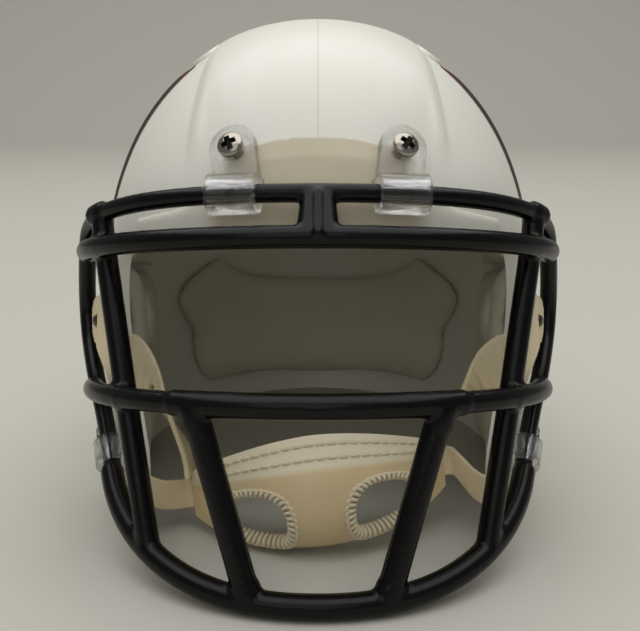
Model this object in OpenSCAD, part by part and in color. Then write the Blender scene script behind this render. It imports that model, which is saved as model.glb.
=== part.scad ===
// Half-scale football helmet with a moulded face guard and a four-point chin strap.
// It is laid out level, front towards -Y, and then stands on the foot of the face
// guard and the flat rim of the shell. Lengths are in millimetres, angles in degrees.

/* [Shell] */
// Width of the shell at its widest level
shell_w = 120; // [117:0.5:123]
// Length of the shell forward of its widest station
shell_front = 66; // [64:0.5:68]
// Length of the shell behind its widest station
shell_rear = 76; // [72:0.5:80]
// Height of the crown above the widest level
crown_rise = 78.5; // [75:0.5:82]
// Height of the widest level above the foot of the face guard
widest_z = 64; // [62:0.5:66]
// Wall of the moulded shell
shell_wall = 2.6; // [2.2:0.1:3]
// Fullness of the outline seen from above, where 2 is an ellipse
plan_power = 2.05; // [2:0.05:2.2]
// Fullness of the dome seen from the side, where 2 is an ellipse
dome_power = 2.4; // [2.25:0.05:2.5]
// Share by which the nape draws in at the bottom of the skirt
nape_tuck = 0.16; // [0.08:0.01:0.24]
// Share by which the sides and the jaw flaps draw in there
side_tuck = 0.1; // [0.06:0.01:0.13]
// Lean of the level helmet when it stands on guard and rim
rest_tilt = 14; // [13:0.5:15]

/* [Crown band] */
// Height of the raised band that runs over the crown
band_rise = 2.2; // [1.4:0.1:3]
// Half of its width at the crown
band_half = 24; // [21:0.5:27]
// How much its half width grows towards the brow
band_flare = 5; // [3:0.5:7]
// Width of the sloping wall along each side of it
band_ramp = 4; // [3:0.1:5]

/* [Face opening] */
// Height of the brow edge above the foot of the face guard
brow_z = 82; // [81:0.5:83]
// How far the opening's sides lie ahead of the widest station
opening_y = 36.5; // [34:0.5:38]
// How far the toes of the jaw flaps lie ahead of it
flap_toe_y = 41.5; // [40.5:0.5:43]
// Height of the flaps' lower edge above the foot of the guard
flap_z = 19.5; // [18.5:0.5:21]

/* [Vents] */
// Length of each slotted crown vent
vent_len = 15; // [12:0.5:18]
// Width of each slotted crown vent
vent_w = 5.4; // [4.4:0.2:6]
// Height of the lip round each vent
vent_lip = 0.9; // [0.6:0.1:1.3]
// Diameter of the round ear holes
ear_d = 13; // [10:0.5:15]

/* [Face guard] */
// Diameter of the top bar
top_d = 4.4; // [3.8:0.1:4.8]
// Diameter of the second bar
second_d = 5.2; // [4.6:0.1:5.6]
// Diameter of the wide bar below the eyes
mid_d = 5.9; // [5.2:0.1:6.4]
// Diameter of the foot ring
ring_d = 5.8; // [5.2:0.1:6.4]
// Diameter of the upright bars
post_d = 5.4; // [4.8:0.1:5.8]
// Diameter of the two slanted bars under the wide bar
slant_d = 6; // [5.2:0.1:6.4]
// Height of the top bar
top_z = 90.7; // [89.7:0.1:91.7]
// How far the second bar lies below the top bar
second_drop = 9.8; // [9:0.1:10.6]
// Height of the wide bar
mid_z = 45.5; // [44:0.5:47]
// How far the second bar stands ahead of the top bar
second_lead = 5; // [4:0.5:6]
// How far the wide bar stands ahead of the top bar
mid_lead = 10; // [8.5:0.5:11]
// How far the foot ring stands ahead of the top bar
ring_lead = 6; // [5:0.5:7.5]
// Air between the shell's side and the guard's side posts
side_air = 2.8; // [2.2:0.1:3.4]

/* [Clips] */
// Width of the clear loops at the brow
clip_w = 11; // [10:0.2:12]
// Wall of the clear loops
clip_wall = 2; // [1.7:0.1:2.4]
// How far the brow loops sit from the middle
clip_x = 18.4; // [17.5:0.1:20]
// How far the brow screws sit above the top bar
clip_rise = 10.8; // [10:0.1:11.6]
// Width of the clear loops at the jaw
jaw_clip_w = 6.6; // [5.6:0.2:7]
// Height of the jaw screws
jaw_clip_z = 33; // [32:0.5:34]
// Diameter of the screw heads
head_d = 6; // [5.2:0.1:6.6]
// Diameter of the screw shanks
screw_d = 2.6; // [2.2:0.1:3]

/* [Padding] */
// Thickness of the pad behind the head
rear_pad_t = 8; // [6:0.5:10]
// Thickness of the pads at the sides
side_pad_t = 8; // [6:0.5:9]
// Thickness of the crown and brow pads
top_pad_t = 7; // [5.5:0.5:9]
// Thickness of the brow and nape bumpers over the shell
bumper_t = 1; // [0.8:0.1:1.4]

/* [Chin strap] */
// Half of the chin cup's width between its legs
cup_half = 31; // [29:0.5:33]
// How far the cup's front lies ahead of its ends
cup_deep = 19; // [16:0.5:22]
// Height of the cup
cup_h = 26; // [23:0.5:28]
// Thickness of the cup
cup_t = 2; // [1.6:0.1:2.4]
// Lean of the cup, its right end up
cup_lean = 7; // [0:0.5:8]
// Width of the upper legs
leg_w = 13; // [11:0.5:14]
// Width of the lower legs
low_leg_w = 7.4; // [6:0.2:8]
// Thickness of the legs
leg_t = 1.3; // [1:0.1:1.6]
// Diameter of the snap caps
snap_d = 3; // [2.6:0.1:3.4]

/* [Hidden] */

// Running gap between neighbours on one body, and between cup and legs
seat_gap = 0.05;
strap_gap = 0.3;
// Smallest thing added so that cuts pass right through
past = 1;
skirt_h = widest_z - 4;
// Heights that follow the top bar
second_z = top_z - second_drop;
clip_z = top_z + clip_rise;

// Sign-keeping power, for the superellipse outlines
function spow(v, p) = sign(v) * pow(abs(v), p);
function unit(v) = v / norm(v);
function mix(a, b, t) = a * (1 - t) + b * t;
function smooth(t) = let (s = max(0, min(1, t))) s * s * (3 - 2 * s);

// Share of the outline's size that is left at height z, on bearing a
function tuck(a) = mix(side_tuck, nape_tuck, pow(max(0, sin(a)), 2));
function girth(a, z, inset) = z >= widest_z
    ? pow(max(0, 1 - pow((z - widest_z) / (crown_rise - inset), dome_power)), 1 / dome_power)
    : 1 - tuck(a) * pow((widest_z - z) / skirt_h, 2);
function half_w(inset) = shell_w / 2 - inset;
function half_l(a, inset) = (sin(a) < 0 ? shell_front : shell_rear) - inset;
// Point of the shell on bearing a (0 is the right ear, -90 the brow), at height z, inset inwards
function skin(a, z, inset = 0) = let (g = girth(a, z, inset)) [
    half_w(inset) * g * spow(cos(a), 2 / plan_power),
    half_l(a, inset) * g * spow(sin(a), 2 / plan_power),
    z];
// Height of the dome over a place in plan
function dome_z(x, y, inset = 0) = let (
    r = pow(abs(x) / half_w(inset), plan_power) + pow(abs(y) / half_l(y < 0 ? -90 : 90, inset), plan_power))
    widest_z + (crown_rise - inset) * pow(max(0, 1 - pow(r, dome_power / plan_power)), 1 / dome_power);
// Bearing on which the shell's front half has a given x, or a side has a given y
function bearing_x(x, z, inset = 0) = -acos(pow(abs(x) / (half_w(inset) * girth(-90, z, inset)), plan_power / 2));
function bearing_y(y, z, inset = 0) = -asin(pow(-y / (shell_front - inset) / girth(-45, z, inset), plan_power / 2));
// Outward normal there
function skin_normal(a, z) = let (
    da = skin(a + 0.5, z) - skin(a - 0.5, z),
    dz = skin(a, z + 0.5) - skin(a, z - 0.5)) unit(cross(da, dz));

// Closed solid lofted through rings that all have the same number of points
module loft(rings) {
    n = len(rings[0]);
    m = len(rings);
    first = [for (k = [0:2]) let (s = [for (p = rings[0]) p[k]]) s * [for (i = s) 1] / n];
    last = [for (k = [0:2]) let (s = [for (p = rings[m - 1]) p[k]]) s * [for (i = s) 1] / n];
    points = concat([for (r = rings) each r], [first, last]);
    sides = [for (i = [0:m - 2]) for (j = [0:n - 1]) let (
        a = i * n + j, b = i * n + (j + 1) % n, c = b + n, d = a + n) each [[a, c, b], [a, d, c]]];
    caps = [for (j = [0:n - 1]) each [[m * n, j, (j + 1) % n],
        [m * n + 1, (m - 1) * n + (j + 1) % n, (m - 1) * n + j]]];
    polyhedron(points, concat(sides, caps), convexity = 8);
}

// Smooth curve through a list of points, with a number of steps for each span
function spline(p, steps) = concat([for (i = [0:len(p) - 2]) for (k = [0:steps - 1]) let (
    t = k / steps, a = p[max(0, i - 1)], b = p[i], c = p[i + 1], d = p[min(len(p) - 1, i + 2)])
    0.5 * (2 * b + (c - a) * t + (2 * a - 5 * b + 4 * c - d) * t * t
        + (3 * b - 3 * c + d - a) * t * t * t)], [p[len(p) - 1]]);

// Round bar swept along a path; side is a direction that the path never runs in
module bar(path, d, side = [0, 0, 1], faces = 10) {
    n = len(path);
    loft([for (i = [0:n - 1]) let (
        t = unit(path[min(n - 1, i + 1)] - path[max(0, i - 1)]),
        u = unit(cross(t, side)), v = cross(t, u))
        [for (k = [0:faces - 1]) path[i] + d / 2 * (cos(360 * k / faces) * u + sin(360 * k / faces) * v)]]);
}

// Whole dome and skirt at an inset from the outer skin, closed below the rim
module skin_solid(inset, around, rise, fall) {
    loft(concat(
        [for (k = [0:fall]) let (z = widest_z - skirt_h + skirt_h * k / fall)
            [for (j = [0:around - 1]) skin(360 * j / around, z, inset)]],
        [for (k = [1:rise]) let (z = widest_z + (crown_rise - inset) * pow(sin(89 * k / rise), 2 / dome_power))
            [for (j = [0:around - 1]) skin(360 * j / around, z, inset)]]));
}

// Foot of the guard and the plane that the helmet stands on
top_y = -(shell_front * girth(-90, top_z, 0)) - bumper_t - clip_wall - top_d / 2 - 0.6;
second_y = top_y - second_lead;
mid_y = top_y - mid_lead;
ring_y = top_y - ring_lead;
ring_z = ring_d / 2;
up = [0, -sin(rest_tilt), cos(rest_tilt)];
ahead = [0, cos(rest_tilt), sin(rest_tilt)];
foot = [0, ring_y, ring_z];
floor_off = up * foot - ring_d / 2;
// Stations of the crown band, and the heights at which it fades out in front and behind
band_steps = 16;
band_turn = 5.25;
brow_low = 109;
nape_low = 84;
rear_reach = max([for (i = [0:band_steps]) let (p = over_crown(0, band_turn * i))
    ahead * (p + band_rise * band_fade(p) * dome_out(0, p.y))]);
mid_y_off = (rear_reach + ahead * foot - ring_d / 2) / 2;
function floor_z(y) = (y * sin(rest_tilt) + floor_off) / cos(rest_tilt);

// Turns the level helmet to the way it stands, with its middle over the origin
module seated() translate([0, -mid_y_off, -floor_off]) rotate([-rest_tilt, 0, 0]) children();
// Space under the plane that it stands on, in the level frame
module below_floor() rotate([rest_tilt, 0, 0]) translate([-150, -150, floor_off - 100]) cube([300, 400, 100]);
function mirror_x(p, side) = [p.x * side, p.y, p.z];

// Rigid frame on the shell: its x runs across, its y along the shell, its z outwards
module on_skin(at, across, out) {
    x = unit(across - (across * out) * out);
    y = cross(out, x);
    multmatrix([[x.x, y.x, out.x, at.x], [x.y, y.y, out.y, at.y], [x.z, y.z, out.z, at.z], [0, 0, 0, 1]])
        children();
}
function local(p, at, across, out) = let (x = unit(across - (across * out) * out), y = cross(out, x), d = p - at)
    [d * x, d * y, d * out];

// Outward direction of the dome over a place in plan
function dome_out(x, y) = unit([x / pow(half_w(0), 2), y / pow(half_l(y < 0 ? -90 : 90, 0), 2),
    (dome_z(x, y) - widest_z) / pow(crown_rise, 2)]);
// Point on the dome at a given x, an angle round from the crown to the front or the rear
function over_crown(x, turn) = let (y = sign(turn) * half_l(turn, 0)
    * pow(1 - pow(abs(x) / half_w(0), plan_power), 1 / plan_power) * sin(abs(turn))) [x, y, dome_z(x, y)];

// Raised band from the brow over the crown to the nape
function band_edge(turn) = band_half + band_flare * pow(sin(turn), 2);
function band_fade(p) = let (low = p.y > 0 ? nape_low : mix(brow_low, brow_low - 12, smooth((abs(p.x) - 25) / 5)))
    smooth((p.z - low) / 12);
band_across = [[1, -1, -0.45], [1, -0.45, 0.3], [1, 0, 0.62], [0.84, 0, 0.76], [0.6, 0, 0.88], [0.3, 0, 0.97], [0, 0, 1]];
module crown_band() {
    row = concat(band_across, [for (i = [5:-1:0]) band_across[i]]);
    function across(j, turn) = (j < 6 ? -1 : 1) * (band_edge(turn) * row[j][0] - band_ramp * row[j][1]);
    loft([for (i = [-band_steps:band_steps]) let (turn = band_turn * i) concat(
        [for (j = [0:12]) let (p = over_crown(across(j, turn), turn), k = row[j][2] * (row[j][2] < 0 ? 1 : band_rise))
            p + mix(-1.2, k, band_fade(p)) * dome_out(p.x, p.y)],
        [for (j = [12:-2:0]) let (p = over_crown(across(j, turn), turn)) p - 2.2 * dome_out(p.x, p.y)])]);
}

// Face opening and jaw flaps, cut out of the skirt through its whole width
flap_edge = [[-opening_y - 12, brow_z], [-opening_y - 4, brow_z], [-opening_y - 0.8, brow_z - 2.6],
    [-opening_y, brow_z - 9], [-opening_y - 0.6, 66], [-opening_y - 2.2, 56], [-flap_toe_y + 1, 46],
    [-flap_toe_y, 36], [-flap_toe_y, 29], [-flap_toe_y + 1.8, flap_z + 3], [-flap_toe_y + 6, flap_z]];
module face_cut() translate([-100, 0, 0]) rotate([90, 0, 90]) linear_extrude(200) polygon(concat(
    [[-150, brow_z]], spline(flap_edge, 3), [[12, flap_z], [12, -60], [-150, -60]]));

// Slotted vent flanking the crown band, and the round ear hole; grow 0 is the hole itself
vent_x = band_half + 1 + band_ramp / 2 + vent_w / 2;
vent_ys = [-17, 24];
ear_y = 3;
ear_z = 62;
function ear_seat(s) = mirror_x(skin(2, ear_z), s);
module vents(grow, from, to) {
    for (s = [-1, 1]) for (y = vent_ys) let (x = s * vent_x, p = [x, y, dome_z(x, y)])
        on_skin(p, [1, 0, 0], dome_out(x, y)) hull() for (e = [-1, 1])
            translate([0, e * (vent_len - vent_w) / 2, from]) cylinder(d = vent_w + 2 * grow, h = to - from, $fn = 20);
    for (s = [-1, 1]) hull() on_skin(ear_seat(s), [0, s, 0], mirror_x(skin_normal(2, ear_z), s))
        translate([0, 0, from]) cylinder(d = ear_d + 2 * grow, h = to - from, $fn = 28);
}

// Where the clips' screws and the snaps pass through the shell, for the side s
function top_seat(s) = mirror_x(skin(bearing_x(clip_x, clip_z), clip_z, -bumper_t), s);
function top_out(s) = mirror_x(skin_normal(bearing_x(clip_x, clip_z), clip_z), s);
jaw_clip_y = -26;
function jaw_seat(s) = mirror_x(skin(bearing_y(jaw_clip_y, jaw_clip_z), jaw_clip_z), s);
function jaw_out(s) = mirror_x(skin_normal(bearing_y(jaw_clip_y, jaw_clip_z), jaw_clip_z), s);
snap_y = -31;
snap_z = 62.5;
low_snap_y = -33;
low_snap_z = 23.5;
snap_stand = 2.2;
low_stand = 0.5;
function snap_seat(s) = mirror_x(skin(bearing_y(snap_y, snap_z), snap_z), s);
function snap_out(s) = mirror_x(skin_normal(bearing_y(snap_y, snap_z), snap_z), s);
function low_seat(s) = mirror_x(skin(bearing_y(low_snap_y, low_snap_z), low_snap_z), s);
function low_out(s) = mirror_x(skin_normal(bearing_y(low_snap_y, low_snap_z), low_snap_z), s);

module shell() color("#efefe8") seated() difference() {
    union() {
        skin_solid(0, 64, 13, 6);
        crown_band();
        vents(0.9, -1.5, vent_lip);
    }
    skin_solid(shell_wall, 64, 13, 4);
    face_cut();
    below_floor();
    vents(0, -8, 8);
    for (s = [-1, 1]) {
        on_skin(top_seat(s), [1, 0, 0], top_out(s)) translate([0, 0, -8]) cylinder(d = screw_d + 0.3, h = 16, $fn = 16);
        on_skin(jaw_seat(s), [0, 0, -s], jaw_out(s)) translate([0, 0, -6]) cylinder(d = screw_d + 0.3, h = 12, $fn = 16);
        on_skin(snap_seat(s), [0, 0, 1], snap_out(s)) translate([0, 0, -6]) cylinder(d = stud_d + 0.2, h = 12, $fn = 16);
        on_skin(low_seat(s), [0, 0, 1], low_out(s)) translate([0, 0, -6]) cylinder(d = stud_d + 0.2, h = 12, $fn = 16);
    }
}

// Grid of points turned into a closed solid: face(i, j, k) is the point on side k, open(i, j) leaves out a cell
module panel(face, nu, nv, open = function (i, j) false) {
    at = function (i, j, k) (i * (nv + 1) + j) * 2 + k;
    kept = function (i, j) i >= 0 && i < nu && j >= 0 && j < nv && !open(i, j);
    points = [for (i = [0:nu]) for (j = [0:nv]) for (k = [0, 1]) face(i, j, k)];
    sheets = [for (i = [0:nu - 1]) for (j = [0:nv - 1]) if (kept(i, j)) each [
        [at(i, j, 0), at(i + 1, j, 0), at(i + 1, j + 1, 0)], [at(i, j, 0), at(i + 1, j + 1, 0), at(i, j + 1, 0)],
        [at(i, j, 1), at(i + 1, j + 1, 1), at(i + 1, j, 1)], [at(i, j, 1), at(i, j + 1, 1), at(i + 1, j + 1, 1)]]];
    rims = [for (i = [0:nu - 1]) for (j = [0:nv - 1]) if (kept(i, j))
        for (e = [[i, j - 1, i, j, i + 1, j], [i + 1, j, i + 1, j, i + 1, j + 1],
            [i, j + 1, i + 1, j + 1, i, j + 1], [i - 1, j, i, j + 1, i, j]])
            if (!kept(e[0], e[1])) let (a = at(e[2], e[3], 0), b = at(e[4], e[5], 0), c = b + 1, d = a + 1)
                each [[a, d, c], [a, c, b]]];
    polyhedron(points, concat(sheets, rims), convexity = 6);
}

// Brow bumper: a U-shaped strip over the shell's edge, taller between the clips
brow_top = [[0, 104.6], [9, 104.2], [16, 102.6], [22, 98.6], [26, 92.5], [31, 88.8], [45, 87.2], [60, 86.8]];
brow_turn = 47;
bumper_gap = 0.2;
module brow_bumper() color("#e9e3cf") seated() difference() {
    loft([for (i = [-15:15]) let (a = -90 + brow_turn * i / 15, top = lookup(abs(skin(a, 94).x), brow_top),
        low = brow_z - bumper_t, seat = brow_z - bumper_gap, inner = shell_wall + 0.3)
        concat([for (v = [1, 0.8, 0.55, 0.3, 0]) skin(a, mix(low, top, v), v == 1 ? -bumper_t * 0.6 : -bumper_t)],
            [skin(a, low, shell_wall + bumper_t), skin(a, brow_z + 4.5, shell_wall + bumper_t),
            skin(a, brow_z + 4.5, inner), skin(a, seat, inner)],
            [for (v = [0, 0.3, 0.55, 0.8, 1]) skin(a, mix(seat, top, v), -bumper_gap)])]);
    for (s = [-1, 1]) on_skin(top_seat(s), [1, 0, 0], top_out(s)) translate([0, 0, -2])
        cylinder(d = screw_d + 0.3, h = 4, $fn = 32);
}
// Nape bumper: a strip outside the bottom edge at the rear
nape_h = 11;
nape_turn = 30;
module nape_bumper() color("#e9e3cf") seated() panel(function (i, j, k)
    let (a = 90 - nape_turn * (i / 8 - 1), low = floor_z(skin(a, 34).y) + 1.3,
        tall = nape_h * (1 - 0.4 * pow(abs(i / 8 - 1), 4)))
        skin(a, low + tall * j / 4, k == 0 ? -bumper_t * (j == 4 ? 0.6 : 1) : -bumper_gap), 16, 4);

// Side posts stand clear of the shell, and the bars end in line with them
post_y = -30;
post_x = skin(bearing_y(post_y, widest_z), widest_z).x + side_air + post_d / 2;
bar_back = -34;
function wrap_y(x, w, front, back) = back - (back - front) * sqrt(max(0, 1 - x * x / (w * w)));
function wrap_path(w, front, back, z, drop, reach, steps) = [for (i = [-steps:steps]) let (t = reach * i / steps)
    [w * sin(t), back - (back - front) * cos(t), z - drop * (1 - cos(t))]];
top_span = post_x - 0.6;
top_back = -28.5;
top_reach = 60.5;
second_span = post_x - 1.6;
mid_span = post_x - 3.4;
ring_span = post_x - 7.6;
ring_rise = 34;
// The jaw loops grip this far ahead of their screws, and the thick ring stops short of them
grip_lead = 15.24;
ring_stop = 10;
ring_grip = acos((bar_back - jaw_clip_y + grip_lead) / (bar_back - ring_y));
ring_reach = ring_grip - ring_stop;
ring_curl = 1.2;
corner = [top_span * sin(top_reach), top_back - (top_back - top_y) * cos(top_reach), top_z - 2.4];
function ring_at(t) = [ring_span * sin(t), bar_back - (bar_back - ring_y) * cos(t),
    ring_z + ring_rise * pow(1 - cos(t), ring_curl)];
function top_at(x) = [x, wrap_y(x, top_span, top_y, top_back), top_z];
function mid_at(x) = [x, wrap_y(x, mid_span, mid_y, bar_back), mid_z];
function second_at(x) = [x, wrap_y(x, second_span, second_y, bar_back), second_z - 0.8];
post_low = ring_at(ring_grip);
post_bend = [post_x - 4.6, post_y - 2.5, mid_z - 6];
grip_way = ring_at(ring_grip - 7) - post_bend;
side_d = post_d * 0.85;

module facemask() color("#111214") seated() union() {
    // Bars across
    bar([for (i = [-9:9]) let (t = top_reach * i / 9, e = pow(abs(i) / 9, 3))
        [top_span * sin(t), top_back - (top_back - top_y) * cos(t), top_z - 2.4 * e]], top_d, faces = 8);
    bar(wrap_path(second_span, second_y, bar_back, second_z, 1.4, 86, 11), second_d, faces = 8);
    bar(wrap_path(mid_span, mid_y, bar_back, mid_z, -0.8, 84, 11), mid_d * 0.86, faces = 8);
    // Fuller middle of the wide bar, between the slanted bars
    bar(wrap_path(mid_span, mid_y, bar_back, mid_z, -0.8, 33, 5), mid_d, faces = 8);
    bar([for (i = [-12:12]) ring_at(ring_reach * i / 12)], ring_d, faces = 8);
    for (s = [-1, 1]) {
        // Upright bars behind the cross bars
        bar(spline([for (p = [corner, second_at(50.4) + [0, 4.2, 0], mid_at(43.8) + [0, 4.2, 0], ring_at(47)])
            mirror_x(p, s)], 3), post_d, [1, 0.2, 0], 8);
        // Side posts, from the brow corner down to the ring's end
        bar(spline([for (p = [corner, [post_x - 2.6, post_y - 8, top_z - 5.5], [post_x - 0.2, post_y - 1, second_z - 3],
            [post_x + 1.6, post_y + 6.5, second_z - 13],
            [post_x + 0.8, post_y + 6, mid_z + 12.5], [post_x - 2.2, post_y - 0.5, mid_z + 3], post_bend, post_low,
            ring_at(ring_reach + 3), ring_at(ring_reach - 4)]) mirror_x(p, s)], 2), side_d, [0, 1, 0.1], 8);
        // Slanted bars
        bar([mid_at(26.5 * s), ring_at(16.5 * s)], slant_d, [1, 0, 0], 8);
        // Moulded knots where the bars meet
        knot(mirror_x(corner, s), post_d + 0.6, [s * 1.6, 1.6, -0.5]);
        knot(mirror_x(second_at(50.4), s), second_d, [0, 3.6, 0]);
        knot(mirror_x(mid_at(43.8), s), mid_d * 0.86, [0, 3.8, 0]);
        knot(mid_at(26.5 * s) - [0, 0, 1.5], slant_d + 0.5, [-0.6 * s, 0, -2]);
        knot(ring_at(16.5 * s) + [0, 0, 1], slant_d + 0.3, [0.4 * s, 0, 1.6]);
        knot(mirror_x(ring_at(ring_reach), s), ring_d, mirror_x(ring_at(ring_grip - 6) - ring_at(ring_reach), s));
    }
    // Web between the upper two bars, with its raised rib
    hull() for (s = [-1, 1]) {
        translate(top_at(1.6 * s)) sphere(d = top_d, $fn = 12);
        translate(second_at(2.2 * s) + [0, 0, 0.8]) sphere(d = second_d, $fn = 12);
    }
    hull() {
        translate(top_at(0) - [0, top_d / 2, 0]) sphere(d = 2.2, $fn = 10);
        translate(second_at(0) + [0, 0.4 - second_d / 2, 1.5]) sphere(d = 2.2, $fn = 10);
    }
}

module knot(at, d, run) hull() {
    translate(at) sphere(d = d, $fn = 12);
    translate(at + run) sphere(d = d, $fn = 12);
}

// Clear loop: a round-ended tab under the screw and an eye round the bar, whose place and direction are
// given in the tab's own frame
tab_t = 2.4;
module loop_clip(width, at, along, bar_d, wall) {
    bore = bar_d + 0.7;
    out_r = bore / 2 + wall;
    across = unit(cross(along, [0, 0, 1]));
    rise = cross(across, along);
    difference() {
        union() {
            translate([0, 0, seat_gap]) cylinder(d = width, h = tab_t, $fn = 48);
            translate([0, 0, seat_gap]) linear_extrude(tab_t)
                polygon([[-width / 2, 0], [at.x - width / 2, at.y], [at.x + width / 2, at.y], [width / 2, 0]]);
            translate([at.x - width / 2, at.y, seat_gap]) cube([width, out_r * 0.94, at.z]);
            multmatrix([[across.x, rise.x, along.x, at.x], [across.y, rise.y, along.y, at.y],
                [across.z, rise.z, along.z, at.z], [0, 0, 0, 1]]) cylinder(r = out_r, h = width, center = true, $fn = 48);
        }
        translate([-50, -50, seat_gap - 100]) cube(100);
        multmatrix([[across.x, rise.x, along.x, at.x], [across.y, rise.y, along.y, at.y],
            [across.z, rise.z, along.z, at.z], [0, 0, 0, 1]]) cylinder(d = bore, h = 4 * width, center = true, $fn = 48);
        translate([0, 0, -past]) cylinder(d = screw_d + 0.4, h = tab_t + 3 * past, $fn = 32);
    }
}
module top_clip(s) let (seat = top_seat(s), out = top_out(s), x = clip_x * s, d = top_at(x + 1) - top_at(x - 1))
    on_skin(seat, [1, 0, 0], out)
        loop_clip(clip_w, local(top_at(x), seat, [1, 0, 0], out),
            unit(local(seat + d, seat, [1, 0, 0], out)), top_d, clip_wall);
module side_clip(s) let (seat = jaw_seat(s), out = jaw_out(s), grip = mirror_x(ring_at(ring_grip), s),
    d = mirror_x(-grip_way, s), across = -s * d)
    on_skin(seat, across, out)
        loop_clip(jaw_clip_w, local(grip, seat, across, out), unit(local(seat + d, seat, across, out)),
            side_d, clip_wall * 0.7);

module top_clip_left() color("#e8eef2", 0.45) seated() top_clip(-1);
module top_clip_right() color("#e8eef2", 0.45) seated() top_clip(1);
module side_clip_left() color("#e8eef2", 0.45) seated() side_clip(-1);
module side_clip_right() color("#e8eef2", 0.45) seated() side_clip(1);

// Pan head screw with a cross recess, its head on the tab and its shank through the shell
module screw(depth) {
    translate([0, 0, tab_t + 2 * seat_gap]) difference() {
        rotate_extrude($fn = 48) {
            intersection() {
                translate([0, -2.6]) circle(r = 4.4, $fn = 64);
                square([head_d / 2, 3]);
            }
            translate([0, -tab_t - depth]) square([screw_d / 2, tab_t + depth + past]);
        }
        for (turn = [0, 90]) rotate(turn) translate([-1.5, -0.4, 0.7]) cube([3, 0.8, 3]);
    }
}
// Low T-nut with a flange inside the shell
nut_h = 1.5;
nut_gap = 0.4;
module barrel_nut(depth) translate([0, 0, -depth]) rotate([180, 0, 0]) difference() {
    union() {
        cylinder(d = 6, h = 0.7, $fn = 32);
        cylinder(d = 4.4, h = nut_h, $fn = 32);
    }
    translate([0, 0, -past]) cylinder(d = screw_d + 0.1, h = 5, $fn = 32);
}
module top_screws() color("#b9babb") seated() for (s = [-1, 1])
    on_skin(top_seat(s), [1, 0, 0], top_out(s)) screw(bumper_t + shell_wall + nut_gap + nut_h);
module side_screws() color("#b9babb") seated() for (s = [-1, 1])
    on_skin(jaw_seat(s), [0, 0, -s], jaw_out(s)) screw(shell_wall + nut_gap + nut_h);
module clip_nuts() color("#8f9092") seated() for (s = [-1, 1]) {
    on_skin(top_seat(s), [1, 0, 0], top_out(s)) barrel_nut(bumper_t + shell_wall + nut_gap);
    on_skin(jaw_seat(s), [0, 0, -s], jaw_out(s)) barrel_nut(shell_wall + nut_gap);
}

// Pad that follows the shell's inside: place(u, v) gives bearing and height, u and v run over the patch.
// Its back is hollowed where nuts and studs come through the shell
pad_gap = shell_wall + 0.35;
fasteners = [for (s = [-1, 1]) each [top_seat(s), jaw_seat(s), snap_seat(s), low_seat(s)]];
function hollow(p) = let (near = min([for (q = fasteners) norm(p - q)])) 2.2 * (1 - smooth((near - 4.2) / 3));
function swell(u, v) = 0.4 + 0.6 * sqrt(max(0, (1 - pow(abs(u), 5)) * (1 - pow(abs(v), 5))));
module wall_pad(place, t, nu, nv, open = function (i, j) false) panel(function (i, j, k)
    let (u = 2 * i / nu - 1, v = 2 * j / nv - 1, p = place(u, v))
        skin(p[0], p[1], pad_gap + (k == 1 ? hollow(skin(p[0], p[1])) : t * swell(u, v))), nu, nv, open);
// Bone-shaped pad behind the head: its half width in degrees at each level, bottom to top
rear_low = 42.6;
rear_high = 76.9;
rear_dip = 3;
rear_horn = 6.8;
rear_half = [[0, 42], [0.12, 48], [0.26, 50], [0.4, 49], [0.55, 54.5], [0.66, 57], [0.82, 51.5], [1, 38.5]];
module rear_pad() color("#d9d6c8") seated() wall_pad(
    function (u, v) let (w = (v + 1) / 2) [90 + u * lookup(w, rear_half),
        mix(rear_low - rear_dip * pow(abs(u), 4), rear_high + rear_horn * pow(abs(u), 4.5), w)], rear_pad_t, 22, 10);
jaw_top = 77;
pad_seam = 1.4;
temple_top = 100;
brow_pad_low = 88;
brow_pad_high = 105;
// Patch at the side s: bearings from front to back, heights from low to high, clear of the floor
function side_at(s, u, v, a0, a1, z0, z1) = let (a = mix(a0, a1, (s * u + 1) / 2))
    [s > 0 ? a : 180 - a, mix(max(z0, floor_z(skin(a, 50).y) + 3), z1, (v + 1) / 2)];
// The ear hole stays open: the grid's points next to it lie on a circle round its middle
module jaw_pad(s) wall_pad(function (u, v) let (
        i = round(6 * (s * u + 1)), j = round(6 * (v + 1)), p = side_at(s, u, v, -30, 18, flap_z + 2.5, jaw_top),
        ring = max(abs(i - 8), abs(j - 9)), turn = atan2(j - 9, i - 8), r = ear_d / 2 + 0.8)
        ring != 1 ? p : [s > 0 ? 2 + r * cos(turn) : 178 - r * cos(turn), ear_z + r * sin(turn)],
    side_pad_t, 12, 12, function (i, j) let (q = s > 0 ? i : 11 - i) (q == 7 || q == 8) && (j == 8 || j == 9));
module temple_pad(s) wall_pad(function (u, v) side_at(s, u, v, -33, 18, jaw_top + pad_seam, temple_top), side_pad_t * 0.9, 8, 5);
module jaw_pad_left() color("#d3d0c3") seated() jaw_pad(-1);
module jaw_pad_right() color("#d3d0c3") seated() jaw_pad(1);
module temple_pad_left() color("#dcd9cc") seated() temple_pad(-1);
module temple_pad_right() color("#dcd9cc") seated() temple_pad(1);
module brow_pad() color("#d3d0c3") seated() wall_pad(
    function (u, v) [-90 + u * 36, mix(brow_pad_low, brow_pad_high - 4 * u * u, (v + 1) / 2)], top_pad_t, 14, 7);
// Pad under the crown
crown_half = 30;
crown_long = 34;
crown_mid = 6;
module crown_pad() color("#d3d0c3") seated() panel(function (i, j, k) let (
    u = i / 4 - 1, q = j / 4 - 1, x = crown_half * sqrt(1 - 0.55 * u * u) * q, y = crown_mid + crown_long * u)
    [x, y, dome_z(x, y, pad_gap) - (k == 0 ? 0 : top_pad_t * swell(u, q))], 8, 8);

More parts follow.
